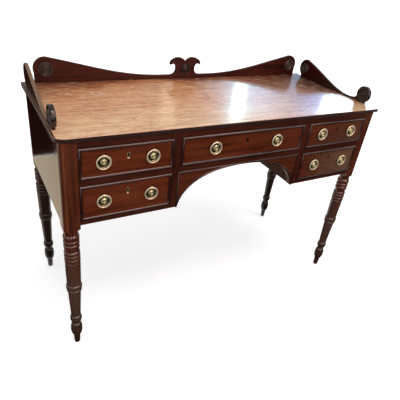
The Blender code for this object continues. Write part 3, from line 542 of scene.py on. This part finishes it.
def faded_top():
    """The top's finish: faded mahogany above, the old dark colour on the edge, a pale arris between, rubbed
    and painted as a highlight.

    The wood is palest along the front and darkest at the back, where the dark stops are a painted reflection
    and shade of the back board; beside the gallery it is darkened further with painted shade and reflection
    of the boards. A thin film of polish lies over it and gives the sharp part of the gloss, and the wood
    under it the broad part. The pores are drawn about four times as wide as real ones, so that they show."""
    material, tree = new_material("faded_mahogany")
    shader = tree.nodes["Principled BSDF"].inputs
    place = add(tree, "TexCoord", {}, "Object")
    x, y = coordinate(tree, "X"), coordinate(tree, "Y")
    above = add(tree, "Math", {"operation": "SUBTRACT", 0: coordinate(tree, "Z"), 1: top_z})
    patterns = []
    for along_mm, across_mm, detail, rough, warp in (
            (340, 16, 6.0, 0.60, 0.6), (110, 3.2, 4.0, 0.65, 0.0), (10, 0.9, 2.0, 0.5, 0.0),
            (260, 150, 4.0, 0.55, 0.0), (34, 12, 6.0, 0.72, 0.0), (60, 60, 3.0, 0.5, 0.0),
            (9, 9, 3.0, 0.5, 0.0), (120, 9, 2.0, 0.5, 0.0)):
        scale = (1000 / along_mm, 1000 / across_mm, 30)
        patterns.append(add(tree, "TexNoise", {
            "Vector": add(tree, "Mapping", {"Vector": place, "Scale": scale}), "Scale": 1.0, "Detail": detail,
            "Roughness": rough, "Distortion": warp}))
    figure, stripes, pores, clouds, mottle, scuffed, worn, ripple = patterns
    cracks = add(tree, "TexVoronoi", {
        "feature": "DISTANCE_TO_EDGE", "Vector": add(tree, "Mapping", {
            "Vector": place, "Rotation": (0, 0, 0.32), "Scale": (5, 26, 1)}), "Scale": 1.0}, "Distance")
    uneven = add(tree, "MapRange", {"Value": clouds, "From": (0.3, 0.7), "To": (-0.05, 0.05)})
    depth = add(tree, "MapRange", {
        "Value": add(tree, "Math", {"operation": "ADD", 0: y, 1: uneven}), "From": (-0.24, 0.24)})
    # Palest along the front; the darkest stops at the back are a painted reflection and shade of the back
    # board.
    fade_and_back_shade = add(tree, "ValToRGB", {"Fac": depth, "stops": [
        (0.0, linear("#FADAB0")), (0.22, linear("#F6CC9C")), (0.42, linear("#EEB684")),
        (0.78, linear("#EAAC78")), (0.90, linear("#C07E50")), (1.0, linear("#763A22"))]})
    tree.links.new(fade_and_back_shade, shader["Base Color"])

    # Each layer lies over those before it: what it follows, between which two values it sets in, within what
    # second span, how strong it is, its colour and its blend. First painted shade and painted reflection of
    # the gallery boards, at the right, at the left and close beside the right board, then the grain, then
    # scratches across it.
    layers = [
        # Painted shade and reflection of the gallery boards: at the right, at the left back, and close beside
        # the right board.
        (y, -0.36, 0.14, (x, -0.06, 0.34), 0.85, "#70402E", "MIX"),
        (y, 0.02, 0.15, (x, -0.34, -0.58), 0.51, "#70402E", "MIX"),
        (y, -0.14, 0.02, (x, 0.42, 0.54), 0.85, "#4A2218", "MIX"),
        (figure, 0.40, 0.68, None, 0.60, "#C48A70", "MULTIPLY"),
        (stripes, 0.42, 0.64, None, 0.60, "#B48070", "MULTIPLY"),
        (mottle, 0.52, 0.68, None, 0.44, "#FFECC8", "MIX"),
        (mottle, 0.45, 0.30, None, 0.65, "#B4785C", "MULTIPLY"),
        (cracks, 0.016, 0.0, (scuffed, 0.52, 0.60), 0.6, "#E8C8A4", "MIX")]
    # Pale rings, as wet cups leave, each at a place on the top.
    for across, back, radius_mm, strength in (
            (-0.400, 0.090, 17, 1.0), (-0.485, 0.098, 9, 0.9), (-0.235, 0.076, 15, 0.7)):
        away = add(tree, "VectorMath", {"operation": "DISTANCE", 0: place, 1: (across, back, top_z)}, "Value")
        rim = add(tree, "Math", {"operation": "SUBTRACT", 0: away, 1: radius_mm / 1000})
        layers.append((add(tree, "Math", {"operation": "ABSOLUTE", 0: rim}), 0.005, 0.001, (worn, 0.40, 0.55),
                       strength, "#EBD0B2", "MIX"))
    # Slim worn marks, each at a place on the top, turned by degrees.
    for across, back, length_mm, width_mm, turn, shade in (
            (-0.057, -0.018, 70, 6.0, -7, "#5A2C1C"), (-0.020, 0.008, 56, 5.0, 82, "#5A2C1C"),
            (-0.345, -0.150, 34, 6.0, 20, "#FFE8C8"), (-0.290, -0.105, 24, 5.0, -30, "#FFE8C8"),
            (-0.210, -0.100, 28, 5.0, 60, "#FFE8C8"), (-0.330, 0.150, 60, 6.0, -24, "#F4CFA8"),
            (-0.180, 0.120, 40, 4.0, 8, "#8A5238"), (-0.010, 0.140, 130, 56.0, -62, "#B4744C"),
            (0.110, 0.165, 40, 4.0, -8, "#7A4630")):
        grid = add(tree, "Mapping", {
            "vector_type": "TEXTURE", "Vector": place, "Location": (across, back, 0),
            "Rotation": (0, 0, math.radians(turn)), "Scale": (length_mm / 2000, width_mm / 2000, 1)})
        sides = [add(tree, "SeparateXYZ", {
            "Vector": add(tree, "VectorMath", {"operation": "ABSOLUTE", 0: grid})}, axis) for axis in "XY"]
        layers.append((sides[0], 1.0, 0.7, (sides[1], 1.0, 0.4), 0.75, shade, "MIX"))
    # Last the pores, the margin outside the gallery boards, dark partly as unfaded wood and partly as painted
    # reflection and shade of the boards, the rubbed arris with its painted highlight, and the dark edge.
    layers += [
        (pores, 0.40, 0.28, None, 0.40, "#5A2E1C", "MIX"),
        (add(tree, "Math", {"operation": "ABSOLUTE", 0: x}), 0.6020, 0.6035, None, 1.0, "#3A1E16", "MIX"),
        (above, *arris_wear_and_highlight, None, 1.0, "#B98A66", "MIX"),
        (above, *edge_dark, None, 1.0, "#260D09", "MIX")]
    for value, start, end, within, share, colour, blend in layers:
        if within:
            share = add(tree, "MapRange", {"Value": within[0], "From": within[1:], "To": (0, share)})
        tint(material, add(tree, "MapRange", {
            "Value": value, "From": (start, end), "To": (0, share)}), linear(colour), blend)

    gloss = add(tree, "MapRange", {"Value": clouds, "From": (0.3, 0.7), "To": (0.30, 0.42)})
    tree.links.new(gloss, shader["Roughness"])
    shader["IOR"].default_value = 1.5
    film = add(tree, "MapRange", {"Value": above, "From": edge_dark, "To": (0.8, 0.1)})
    tree.links.new(film, shader["Coat Weight"])
    shader["Coat Roughness"].default_value = 0.11
    shader["Coat IOR"].default_value = 1.5
    waves = add(tree, "Bump", {"Height": ripple, "Strength": 0.10, "Distance": 0.0010})
    fine = add(tree, "Bump", {"Height": pores, "Strength": 0.12, "Distance": 0.0003, "Normal": waves})
    tree.links.new(fine, shader["Normal"])
    tree.links.new(waves, shader["Coat Normal"])
    return material


piece("top", board("top_board", top_plan, top_thickness, top_arris, 3),
      Matrix.Translation((top_low + top_high) / 2), faded_top(), "carcase", "faded_mahogany", "top_board")


# Gallery
# Three thin mahogany boards stand on the top, glued and screwed from below. The back one is sawn to two long
# sweeps with a crest, and the side ones fall from a high head to a thick turned scroll in front.
back_head, back_head_radius, back_foot = (0.530, 0.0455), 0.0394, 0.567
strip_end, strip_height = 0.100, 0.0145
crest_half, crest_height = 0.067, 0.0803
side_head, side_head_radius, side_foot = (top_depth / 2 - 0.069, 0.042), 0.0375, top_depth / 2 - 0.048
scroll_centre, scroll_radius, scroll_width = (0.0795 - top_depth / 2, 0.0325), 0.031, 0.0145
scroll_foot = 0.064 - top_depth / 2
side_low = (0.155 - top_depth / 2, 0.0060)
side_thickness, side_edge = 0.012, 0.0040
disc_steps, turned_angle = 64, 50

# Dull dark polish. The left board's upward-facing upper edge is painted pale grey as a highlight, and the
# scrolls shine most.
gallery_dark = mahogany("gallery_mahogany", "X", "#220A06", "#46180F", "#4E2116", 0.26, 0.10)
gallery_side = mahogany("gallery_side_mahogany", "Y", "#1C0604", "#380F0A", "#3E1710", 0.20, 0.20)
scroll_polish = mahogany("scroll_mahogany", "Y", "#100806", "#221210", "#2C1A16", 0.12, 0.42)
tree = gallery_side.node_tree
# A painted grey highlight on the left board's upper edge, where its rounded top faces up.
facing = add(tree, "SeparateXYZ", {"Vector": add(tree, "NewGeometry", {}, "Normal")}, "Z")
left = add(tree, "Math", {"operation": "LESS_THAN", 0: coordinate(tree, "X"), 1: 0.0})
upward_highlight = add(tree, "MapRange", {"Value": facing, "From": (0.30, 0.65), "To": (0, 0.8)})
tint(gallery_side, add(tree, "Math", {"operation": "MULTIPLY", 0: upward_highlight, 1: left}), linear("#7E6650"))


def head(foot, centre, radius, end):
    """The outer end of a gallery board: up from its foot and round its head, to an angle in degrees."""
    foot_angle = -math.degrees(math.acos((foot - centre[0]) / radius))
    return [(foot, joint)] + arc(centre, radius, foot_angle, end, 40)


def back_gallery_plan():
    """The back board in front view, above the top: a head at each end, two sweeps and the crest."""
    right = head(back_foot, back_head, back_head_radius, 98)
    start = right[-1]
    run, drop = start[0] - strip_end, start[1] - strip_height
    right += sweep(start, (start[0] - run * 0.36, start[1] - drop * 0.46),
                   (strip_end + run * 0.38, strip_height), (strip_end, strip_height), 40)
    strip_share = strip_height / crest_height
    for *curve, steps in (
            ((1.02, strip_share), (0.74, strip_share), (0.62, 0.30), (0.61, 0.46), 16),
            ((0.61, 0.46), (0.60, 0.64), (0.74, 0.76), (0.90, 0.675), 14),
            ((0.99, 0.66), (1.04, 0.80), (0.82, 1.0), (0.45, 1.0), 18),
            ((0.45, 1.0), (0.28, 1.0), (0.12, 0.93), (0.0, 0.815), 12)):
        right += sweep(*((crest_half * across, crest_height * up) for across, up in curve), steps)
    return mirrored(right)


def side_gallery_plan():
    """A side board seen from the right, above the top: the high head at the back, the sweep, the scroll."""
    outline = head(side_foot, side_head, side_head_radius, 100)
    start = outline[-1]
    run, drop = start[0] - side_low[0], start[1] - side_low[1]
    outline += sweep(start, (start[0] - run * 0.40, start[1] - drop * 0.38),
                     (side_low[0] + run * 0.32, side_low[1]), side_low, 40)
    notch_angle = -18
    notch = arc(scroll_centre, scroll_radius, notch_angle, 0)[0]
    gap = side_low[0] - notch[0]
    outline += sweep(side_low, (side_low[0] - gap * 0.55, side_low[1]),
                     (notch[0] + gap * 0.04, notch[1] - gap * 0.30), notch, 14)
    neck_radius = scroll_radius - side_edge
    front_angle = 360 - math.degrees(math.acos((scroll_foot - scroll_centre[0]) / neck_radius))
    return outline + arc(scroll_centre, neck_radius, notch_angle, front_angle, 40) + [(scroll_foot, joint)]


def scroll_profile():
    """The scroll's disc: a rounded boss and rings on both of its faces, and a hollowed rim."""
    half = scroll_width / 2
    shares = [(0, 1.30), (0.10, 1.28), (0.19, 1.14), (0.24, 0.80), (0.28, 0.80)]
    for inner, outer in ((0.30, 0.44), (0.46, 0.60)):
        shares += [(inner + (outer - inner) * t, 0.84 + 0.22 * math.sin(math.pi * t))
                   for t in (i / 6 for i in range(7))]
    shares += [(0.66, 0.92), (0.86, 1.0), (0.95, 0.94), (1.0, 0.66), (0.985, 0.2)]
    face = [(scroll_radius * out, half * up) for out, up in shares]
    return face + [(out, -up) for out, up in reversed(face)]


back_low, back_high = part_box("gallery_back")
back_place = Matrix.Translation((0, (back_low.y + back_high.y) / 2, top_z)) @ upright
back_board = board("gallery_back", back_gallery_plan(), back_high.y - back_low.y, 2 * arris, 3)
piece("gallery_back_board", back_board, back_place, gallery_dark, "carcase", "dark_mahogany", "gallery_back")
side_plan = side_gallery_plan()
side_way = Matrix(((0, 0, 1, 0), (1, 0, 0, 0), (0, 1, 0, 0), (0, 0, 0, 1)))
for name in ("left", "right"):
    low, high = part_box("gallery_" + name)
    place = Matrix.Translation(((low.x + high.x) / 2, 0, top_z))
    side_board = board("gallery", side_plan, side_thickness, side_edge, 4)
    piece("gallery_board_" + name, side_board, place @ side_way, gallery_side, "carcase", "dark_mahogany",
          "gallery_" + name)
    place = place @ Matrix.Translation((0, *scroll_centre)) @ Matrix.Rotation(math.pi / 2, 4, "Y")
    scroll = lathe("scroll", scroll_profile(), disc_steps)
    piece("gallery_scroll_" + name, scroll, place, scroll_polish, "carcase", "dark_mahogany",
          "gallery_" + name, angle=turned_angle)


# Roundels
# Turned mahogany discs with close rings, glued to the heads of the gallery, and a plain domed one on the
# crest. Old dark polish fills their grooves, and the crests of the rings are paler, partly rubbed and partly
# a painted highlight.
roundel_face, roundel_rings, button_share = 0.0030, 5, 0.14
crest_roundel, back_roundel, side_roundel = 0.0205, 0.0245, 0.0215
ring_wear_and_highlight = 0.35


def ringed_profile(radius):
    """A disc of turned rings round a small button, its back at height 0."""
    shares = [(0, 1.5), (0.06, 1.45), (0.11, 0.9)]
    pitch = (1 - button_share) / roundel_rings
    for ring in range(roundel_rings):
        for t in (i / 8 for i in range(9)):
            shares.append((button_share + pitch * (ring + t), 0.30 + 0.80 * math.sin(math.pi * t)))
    return [(radius * out, roundel_face * up) for out, up in shares] + [(radius, 0), (0, 0)]


def domed_profile(radius):
    """A plain dome inside a rounded rim, its back at height 0."""
    dome = [(0.70 * math.sin(a), 0.6 + 1.7 * math.cos(a)) for a in (math.pi / 2 * i / 12 for i in range(13))]
    rim = [(0.86 - 0.13 * math.cos(a), 0.6 + 0.6 * math.sin(a)) for a in (math.pi * i / 8 for i in range(9))]
    return [(radius * out, roundel_face * up) for out, up in dome + rim] + [(radius, 0), (0, 0)]


def pale_crest_mahogany(name, axis, groove, crest, wear):
    """Dark polish in the groove, paler wood on the crest, partly worn and partly a painted highlight. Both
    are places along an axis.
    """
    material = mahogany(name, "Z", "#0A0403", "#180906", "#20100A", 0.20, 0.30)
    tree = material.node_tree
    tint(material, add(tree, "MapRange", {
        "Value": coordinate(tree, axis), "From": (groove, crest), "To": (0, wear)}), linear("#94786A"))
    return material


for node, profile in (("roundel_crest", domed_profile(crest_roundel)),
                      ("roundel_back_left", ringed_profile(back_roundel)),
                      ("roundel_back_right", ringed_profile(back_roundel)),
                      ("roundel_side_left", ringed_profile(side_roundel)),
                      ("roundel_side_right", ringed_profile(side_roundel))):
    low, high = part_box(node)
    middle = (low + high) / 2
    if "side" in node:
        axis, outward = "X", -math.copysign(1, middle.x)
        facing = Matrix.Rotation(outward * math.pi / 2, 4, "Y")
        middle.x = back = max(low.x, high.x, key=abs)
    else:
        axis, outward = "Y", -1
        facing = upright
        middle.y = back = high.y
    # The rings' crests are painted paler, as wear and painted highlight; the crest roundel gets none.
    finish = pale_crest_mahogany(node + "_mahogany", axis, back + outward * roundel_face * 0.80,
                             back + outward * roundel_face * 1.1, 0.0 if "crest" in node else ring_wear_and_highlight)
    place = Matrix.Translation(middle) @ facing
    piece(node + "_turned", lathe(node, profile, disc_steps), place, finish, "carcase", "dark_mahogany", node,
          angle=turned_angle)


# Drawers
# Each front is a mahogany board, redder than the frame, with a rounded bead glued round its edge that rises
# to a soft ridge. A sawn groove follows the bead, and a keyhole is cut through for the lock.
groove_width, groove_depth = 0.0007, 0.0010
front_bead_width, front_bead_height, ridge = 0.0086, 0.0035, 0.55
front_arris = 0.0004
keyhole_radius, keyhole_foot_radius, keyhole_drop = 0.0045, 0.0032, 0.0125
drawers = ("upper_left", "upper_right", "lower_left", "lower_right", "centre")

# The red darkens from left to right, and is greyed on the right drawers, the lower one most.
front_red = mahogany("red_mahogany", "X", "#341106", "#642910", "#6A3016", 0.24, 0.14)
tree = front_red.node_tree
along, rise = coordinate(tree, "X"), coordinate(tree, "Z")
tint(front_red, 1.0, add(tree, "MapRange", {
    "Value": along, "From": (-0.55, 0.10), "To": (1.12, 0.78)}), "MULTIPLY")
aside = add(tree, "MapRange", {"Value": along, "From": (0.28, 0.50), "To": (0, 0.5)})
beneath = add(tree, "MapRange", {"Value": rise, "From": (0.72, 0.60), "To": (0.25, 1.0)})
tint(front_red, add(tree, "Math", {"operation": "MULTIPLY", 0: aside, 1: beneath}), linear("#6E5A48"))


def framed(name, width, depth, loops, ends):
    """A mesh of nested rectangles in the XZ plane. loops holds (inset, y), and ends says to close it."""
    work = bmesh.new()
    rows = []
    for inset, y in loops:
        x, z = width / 2 - inset, depth / 2 - inset
        rows.append([work.verts.new((sx * x, y, sz * z)) for sx, sz in ((-1, -1), (1, -1), (1, 1), (-1, 1))])
    for outer, inner in list(zip(rows, rows[1:])) + ([] if ends else [(rows[-1], rows[0])]):
        for i in range(4):
            work.faces.new((outer[i - 1], outer[i], inner[i], inner[i - 1]))
    if ends:
        work.faces.new(rows[0])
        work.faces.new(rows[-1])
    bmesh.ops.recalc_face_normals(work, faces=work.faces)
    return shaped(name, work)


def keyhole_plan(grow):
    """A keyhole about the middle of its round head: the head over a narrower round foot."""
    head, foot = keyhole_radius + grow, keyhole_foot_radius + grow
    side = math.degrees(math.asin(foot / head * 0.8))
    return arc((0, 0), head, -90 + side, 270 - side, 28) + arc((0, -keyhole_drop), foot, 180, 360, 14)


crown = [(front_bead_width / 2 * (1 - math.cos(a)),
          -front_bead_height * ((1 - ridge) * math.sin(a) + ridge * (1 - abs(math.cos(a)))))
         for a in (math.pi * i / 16 for i in range(17))]
bead_loops = [(0, joint)] + crown + [(front_bead_width, joint)]
inner = front_bead_width - joint
outer = inner + groove_width
for drawer in drawers:
    body = "drawer_" + drawer
    low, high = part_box("drawer_front_" + drawer)
    width, tall, back = high.x - low.x, high.z - low.z, high.y - apron_front
    centre = Vector(((low.x + high.x) / 2, apron_front, (low.z + high.z) / 2))
    loops = [(0, back), (0, front_arris), (front_arris, 0), (inner, 0), (inner, groove_depth),
             (outer, groove_depth), (outer, 0), (outer + 0.001, 0)]
    lock_low, lock_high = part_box("lock_" + drawer)
    keyhole_z = (lock_low.z + lock_high.z) / 2 + keyhole_drop / 2 - centre.z
    cutter = board("keyhole", keyhole_plan(joint), 3 * back)
    cutter.transform(Matrix.Translation((0, back / 2, keyhole_z)) @ upright)
    front = combined("front", framed("front", width, tall, loops, True), [("DIFFERENCE", cutter)])
    piece("front_" + drawer, front, Matrix.Translation(centre), front_red, body, "red_mahogany",
          "drawer_front_" + drawer)
    piece("front_bead_" + drawer, framed("bead", width, tall, bead_loops, False), Matrix.Translation(centre),
          bead_polish, body, "red_mahogany", angle=turned_angle)


# Drawer boxes
# Thin oak sides, dovetailed into the front, with an oak back and a thin bottom whose grain runs from side to
# side. The wood is bare and dry, and greyed by handling, so it has no gloss.
oak_along, oak_across = (mahogany(name, grain, "#6E5234", "#A07C52", "#8A6C48", 0.55, 0.30)
                         for name, grain in (("dry_oak", "Y"), ("dry_oak_across", "X")))
oak_wall, oak_floor, oak_rise, oak_drop = 0.010, 0.006, 0.008, 0.006
oak_arris, oak_gap = 0.0004, 0.0001
tails, tail_depth, tail_flare, tail_start, tail_end = 3, 0.012, 0.0022, 0.18, 0.82


def dovetailed(depth, height):
    """A drawer side in the plane of its depth and height, its front end cut to tails that enter the front."""
    outline = [(depth, 0), (depth, height), (0, height)]
    pitch = height / tails
    for tail in range(tails):
        top, bottom = height - pitch * (tail + tail_start), height - pitch * (tail + tail_end)
        outline += [(0, top - tail_flare / 2), (-tail_depth, top + tail_flare / 2)]
        outline += [(-tail_depth, bottom - tail_flare / 2), (0, bottom + tail_flare / 2)]
    return outline + [(0, 0)]


for drawer in drawers:
    body = "drawer_" + drawer
    low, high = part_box("drawer_box_" + drawer)
    size = high - low
    plan = dovetailed(size.y - 2 * oak_gap, size.z)
    for side, x in (("left", low.x + oak_wall / 2 - oak_gap), ("right", high.x - oak_wall / 2 + oak_gap)):
        tailed = board("drawer_side", plan, oak_wall, oak_arris)
        place = Matrix.Translation((x, low.y, low.z)) @ side_way
        piece(f"drawer_side_{drawer}_{side}", tailed, place, oak_along, body, "drawer_oak",
              "drawer_box_" + drawer)
    half = size.x / 2 - oak_wall + oak_gap
    middle = (low.x + high.x) / 2
    back_plan = [(-half, oak_rise), (half, oak_rise), (half, size.z - oak_drop), (-half, size.z - oak_drop)]
    back = board("drawer_back", back_plan, oak_wall, 3 * oak_arris)
    place = Matrix.Translation((middle, high.y - oak_wall / 2, low.z)) @ upright
    piece("drawer_back_" + drawer, back, place, oak_across, body, "drawer_oak")
    floor_plan = [(-half, 0), (half, 0), (half, size.y), (-half, size.y)]
    bottom = board("drawer_bottom", floor_plan, oak_floor, oak_arris)
    place = Matrix.Translation((middle, low.y, low.z + oak_rise + oak_floor / 2))
    piece("drawer_bottom_" + drawer, bottom, place, oak_across, body, "drawer_oak")


# Locks
# A brass liner shows round each keyhole, bright at its foot where the key rubs. On the left drawers it is a
# pale copy of the brass, a painted highlight, and on the others a dark copy, painted shade. Inside the
# keyhole, painted shade darkens the liner behind its mouth. Behind the front sits the lock's brass case, held
# by four screws.
liner_wall, liner_reach, lock_thickness, lock_arris = 0.0005, 0.019, 0.009, 0.0008
foot_wall, keyhole_shade_fade = 0.0046, 0.0012
liner_play, liner_arris = 0.0001, 0.0004
screw_profile = [(0, 0.0012), (0.0018, 0.0011), (0.0030, 0.0006), (0.0034, 0), (0.0034, -0.002), (0, -0.002)]


def brass(name, bright, dull, grime, gloss, metal=1.0, shade_behind=None):
    """Old cast brass: bright where it is handled, dull elsewhere, with dark grime in its hollows.

    metal is below 1 where old lacquer and dust dull it. Behind the place along Y given last, painted shade
    fills it, in the grime colour.
    Its patches are about 4 mm across and its specks about 1 mm, coarser than real ones, so that they show."""
    material, tree = new_material(name)
    shader = tree.nodes["Principled BSDF"].inputs
    place = add(tree, "TexCoord", {}, "Object")
    cloud, specks = (add(tree, "TexNoise", {"Vector": place, "Scale": scale, "Detail": detail})
                     for scale, detail in ((260.0, 4.0), (900.0, 2.0)))
    worn = add(tree, "ValToRGB", {"Fac": cloud, "stops": [(0.34, linear(dull)), (0.60, linear(bright))]})
    tree.links.new(worn, shader["Base Color"])
    spotted = add(tree, "MapRange", {"Value": specks, "From": (0.36, 0.28), "To": (0, 0.6)})
    # Painted shade: behind this place along Y, inside the keyhole, the brass goes dark.
    if shade_behind:
        painted_shade = add(tree, "MapRange", {
            "Value": coordinate(tree, "Y"), "From": (shade_behind, shade_behind + keyhole_shade_fade)})
        spotted = add(tree, "Math", {"operation": "MAXIMUM", 0: spotted, 1: painted_shade})
    tint(material, spotted, linear(grime))
    rough = add(tree, "MapRange", {"Value": cloud, "From": (0.3, 0.7), "To": (gloss * 1.3, gloss)})
    tree.links.new(rough, shader["Roughness"])
    shader["Metallic"].default_value = metal
    bump = add(tree, "Bump", {"Height": specks, "Strength": 0.15, "Distance": 0.0001})
    tree.links.new(bump, shader["Normal"])
    return material


lock_brass = brass("lock_brass", "#D9B45C", "#9A8048", "#3A3018", 0.34)
liner_mouth = apron_front + 2 * joint
highlight_liner_brass = brass("highlight_liner_brass", "#FFF0C8", "#F0D8A4", "#140C06", 0.40, 0.45, liner_mouth)
shaded_liner_brass = brass("shaded_liner_brass", "#5A4A30", "#463A26", "#140C06", 0.45, 0.45, liner_mouth)
foot_height = foot_wall - keyhole_drop - keyhole_foot_radius
hole_plan = [(x, max(y, foot_height)) for x, y in keyhole_plan(-liner_wall)]
liner_length = liner_reach + lock_thickness / 2
for drawer in drawers:
    body = "drawer_" + drawer
    low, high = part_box("lock_" + drawer)
    middle, level_z = (low.x + high.x) / 2, (low.z + high.z) / 2
    liner = combined("liner", board("liner", keyhole_plan(-liner_play), liner_length, liner_arris),
                     [("DIFFERENCE", board("liner_hole", hole_plan, 2 * liner_length))])
    place = Matrix.Translation((middle, low.y + liner_length / 2, level_z + keyhole_drop / 2)) @ upright
    # Pale liners on the left drawers are a painted highlight, the dark ones elsewhere painted shade.
    finish = highlight_liner_brass if "left" in drawer else shaded_liner_brass
    piece("keyhole_liner_" + drawer, liner, place, finish, body, "brass", "lock_" + drawer)
    wide, tall = (high.x - low.x) / 2, (high.z - low.z) / 2
    plan = [(-wide, -tall), (wide, -tall), (wide, tall), (-wide, tall)]
    case = board("lock_case", plan, lock_thickness, lock_arris)
    pit = board("lock_pit", keyhole_plan(-liner_wall / 2), 1.6 * lock_thickness)
    pit.transform(Matrix.Translation((0, keyhole_drop / 2, lock_thickness)))
    heads = [("DIFFERENCE", pit)]
    backwards = Matrix.Rotation(math.pi, 4, "X")
    for x, z in plan:
        screw = lathe("screw", screw_profile, 20)
        screw.transform(Matrix.Translation((0.8 * x, 0.75 * z, -lock_thickness / 2)) @ backwards)
        heads.append(("UNION", screw))
    place = Matrix.Translation((middle, high.y - lock_thickness / 2, level_z)) @ upright
    case = combined("lock_case", case, heads)
    piece("lock_case_" + drawer, case, place, lock_brass, body, "brass", "lock_" + drawer)


# Ring pulls
# Each pull is a turned brass plate, a ringed boss on a stem that goes through the front, a row of cast beads
# round its upper half, and a lug that carries a loose cast ring. Grime darkens the hollow round the boss.
boss_brass = brass("boss_brass", "#CECAA2", "#9C986E", "#4A4828", 0.27, 0.85)
ring_brass = brass("ring_brass", "#EEE2C4", "#D6C8A6", "#8A7A5E", 0.40, 0.70)
grimy_brass = brass("grimy_brass", "#2C2C1C", "#1C1E14", "#0C0C08", 0.45)
plate_top, plate_radius, hollow_radius, rim_radius = 0.0024, 0.0200, 0.0159, 0.0163
stem_radius, stem_length = 0.0025, 0.0230
eye_height, eye_stand, eye_width = 0.0192, 0.0062, 0.0044
eye_play, eye_wall = 0.0005, 0.0018
ring_centre, wire_across, wire_deep = 0.0200, 0.0019, 0.0018
bead_circle, lug_root, lug_arris = 0.0148, 0.0010, 0.0005
plate_steps, ring_steps, wire_steps = 56, 72, 20
plate_profile = [(0, plate_top * 0.7), (hollow_radius, plate_top * 0.7), (rim_radius, plate_top * 0.9),
                 (0.0192, plate_top * 0.7), (plate_radius, plate_top * 0.3), (plate_radius, 0),
                 (stem_radius, 0), (stem_radius, -stem_length), (0, -stem_length)]
rim_profile = [(rim_radius, 0.0012)] + arc((0.0174, 0.0020), 0.0011, 180, 20, 10)
rim_profile += [(0.0186, 0.0016), (0.0186, 0.0010)]
boss_profile = [(0, 0.0113), (0.0009, 0.0111), (0.0018, 0.0104), (0.0023, 0.0092), (0.0025, 0.0072),
                (0.0030, 0.0062), (0.0040, 0.0060), (0.0046, 0.0070), (0.0052, 0.0081), (0.0061, 0.0086),
                (0.0071, 0.0083), (0.0084, 0.0070), (0.0095, 0.0050), (0.0102, 0.0032), (0.0104, 0.0010),
                (0, 0.0010)]


def pull_ornament():
    """The lug with its eye, and the cast beads at both sides of it, as one mesh, with the face up."""
    inner, outer = wire_deep + eye_play, wire_deep + eye_wall
    lug = arc((eye_stand, eye_height), outer, -90, 90, 16)
    lug += [(lug_root, eye_height + outer * 0.3), (lug_root, eye_height - outer)]
    mesh = board("lug", lug, eye_width, lug_arris)
    hole = board("eye", arc((eye_stand, eye_height), inner, 0, 345, 23), 3 * eye_width)
    mesh = combined("lug", mesh, [("DIFFERENCE", hole)])
    mesh.transform(Matrix(((0, 0, 1, 0), (0, 1, 0, 0), (1, 0, 0, 0), (0, 0, 0, 1))))
    mesh.flip_normals()
    beads = []
    for angle, size in ((20, 0.0016), (33, 0.0015), (45, 0.0013), (56, 0.0012), (66, 0.0010)):
        for side in (-1, 1):
            turn = math.radians(90 + side * angle)
            grain = lathe("bead", arc((0, 0), size, 90, -90, 10), 16)
            grain.transform(Matrix.Translation((
                bead_circle * math.cos(turn), bead_circle * math.sin(turn), plate_top * 0.9)))
            beads.append(("UNION", grain))
    return combined("ornament", mesh, beads)


ornament = pull_ornament()
wire = [(ring_centre + wire_across * math.cos(a), wire_deep * math.sin(a))
        for a in (2 * math.pi * i / wire_steps for i in range(wire_steps))]
for drawer in drawers:
    body = "drawer_" + drawer
    for key in (drawer + "_left", drawer + "_right"):
        low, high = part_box("pull_plate_" + key)
        pivot_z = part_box("ring_" + key)[1].z - wire_deep
        at = Vector(((low.x + high.x) / 2, apron_front - joint, pivot_z - eye_height))
        place = Matrix.Translation(at) @ upright
        plate = lathe("plate", plate_profile, plate_steps)
        piece("pull_plate_turned_" + key, plate, place, grimy_brass, body, "brass", "pull_plate_" + key,
              angle=turned_angle)
        for name, mesh, finish in (("rim", lathe("rim", rim_profile, plate_steps, True), boss_brass),
                                   ("boss", lathe("boss", boss_profile, plate_steps), boss_brass),
                                   ("ornament", ornament.copy(), ring_brass)):
            piece(f"pull_{name}_{key}", mesh, place, finish, body, "brass", angle=turned_angle)
        hang = Matrix.Translation((at.x, at.y - eye_stand, pivot_z - ring_centre)) @ upright
        ring = lathe("ring", wire, ring_steps, True)
        piece("ring_cast_" + key, ring, hang, ring_brass, "ring_" + key, "brass", "ring_" + key,
              angle=bead_angle)
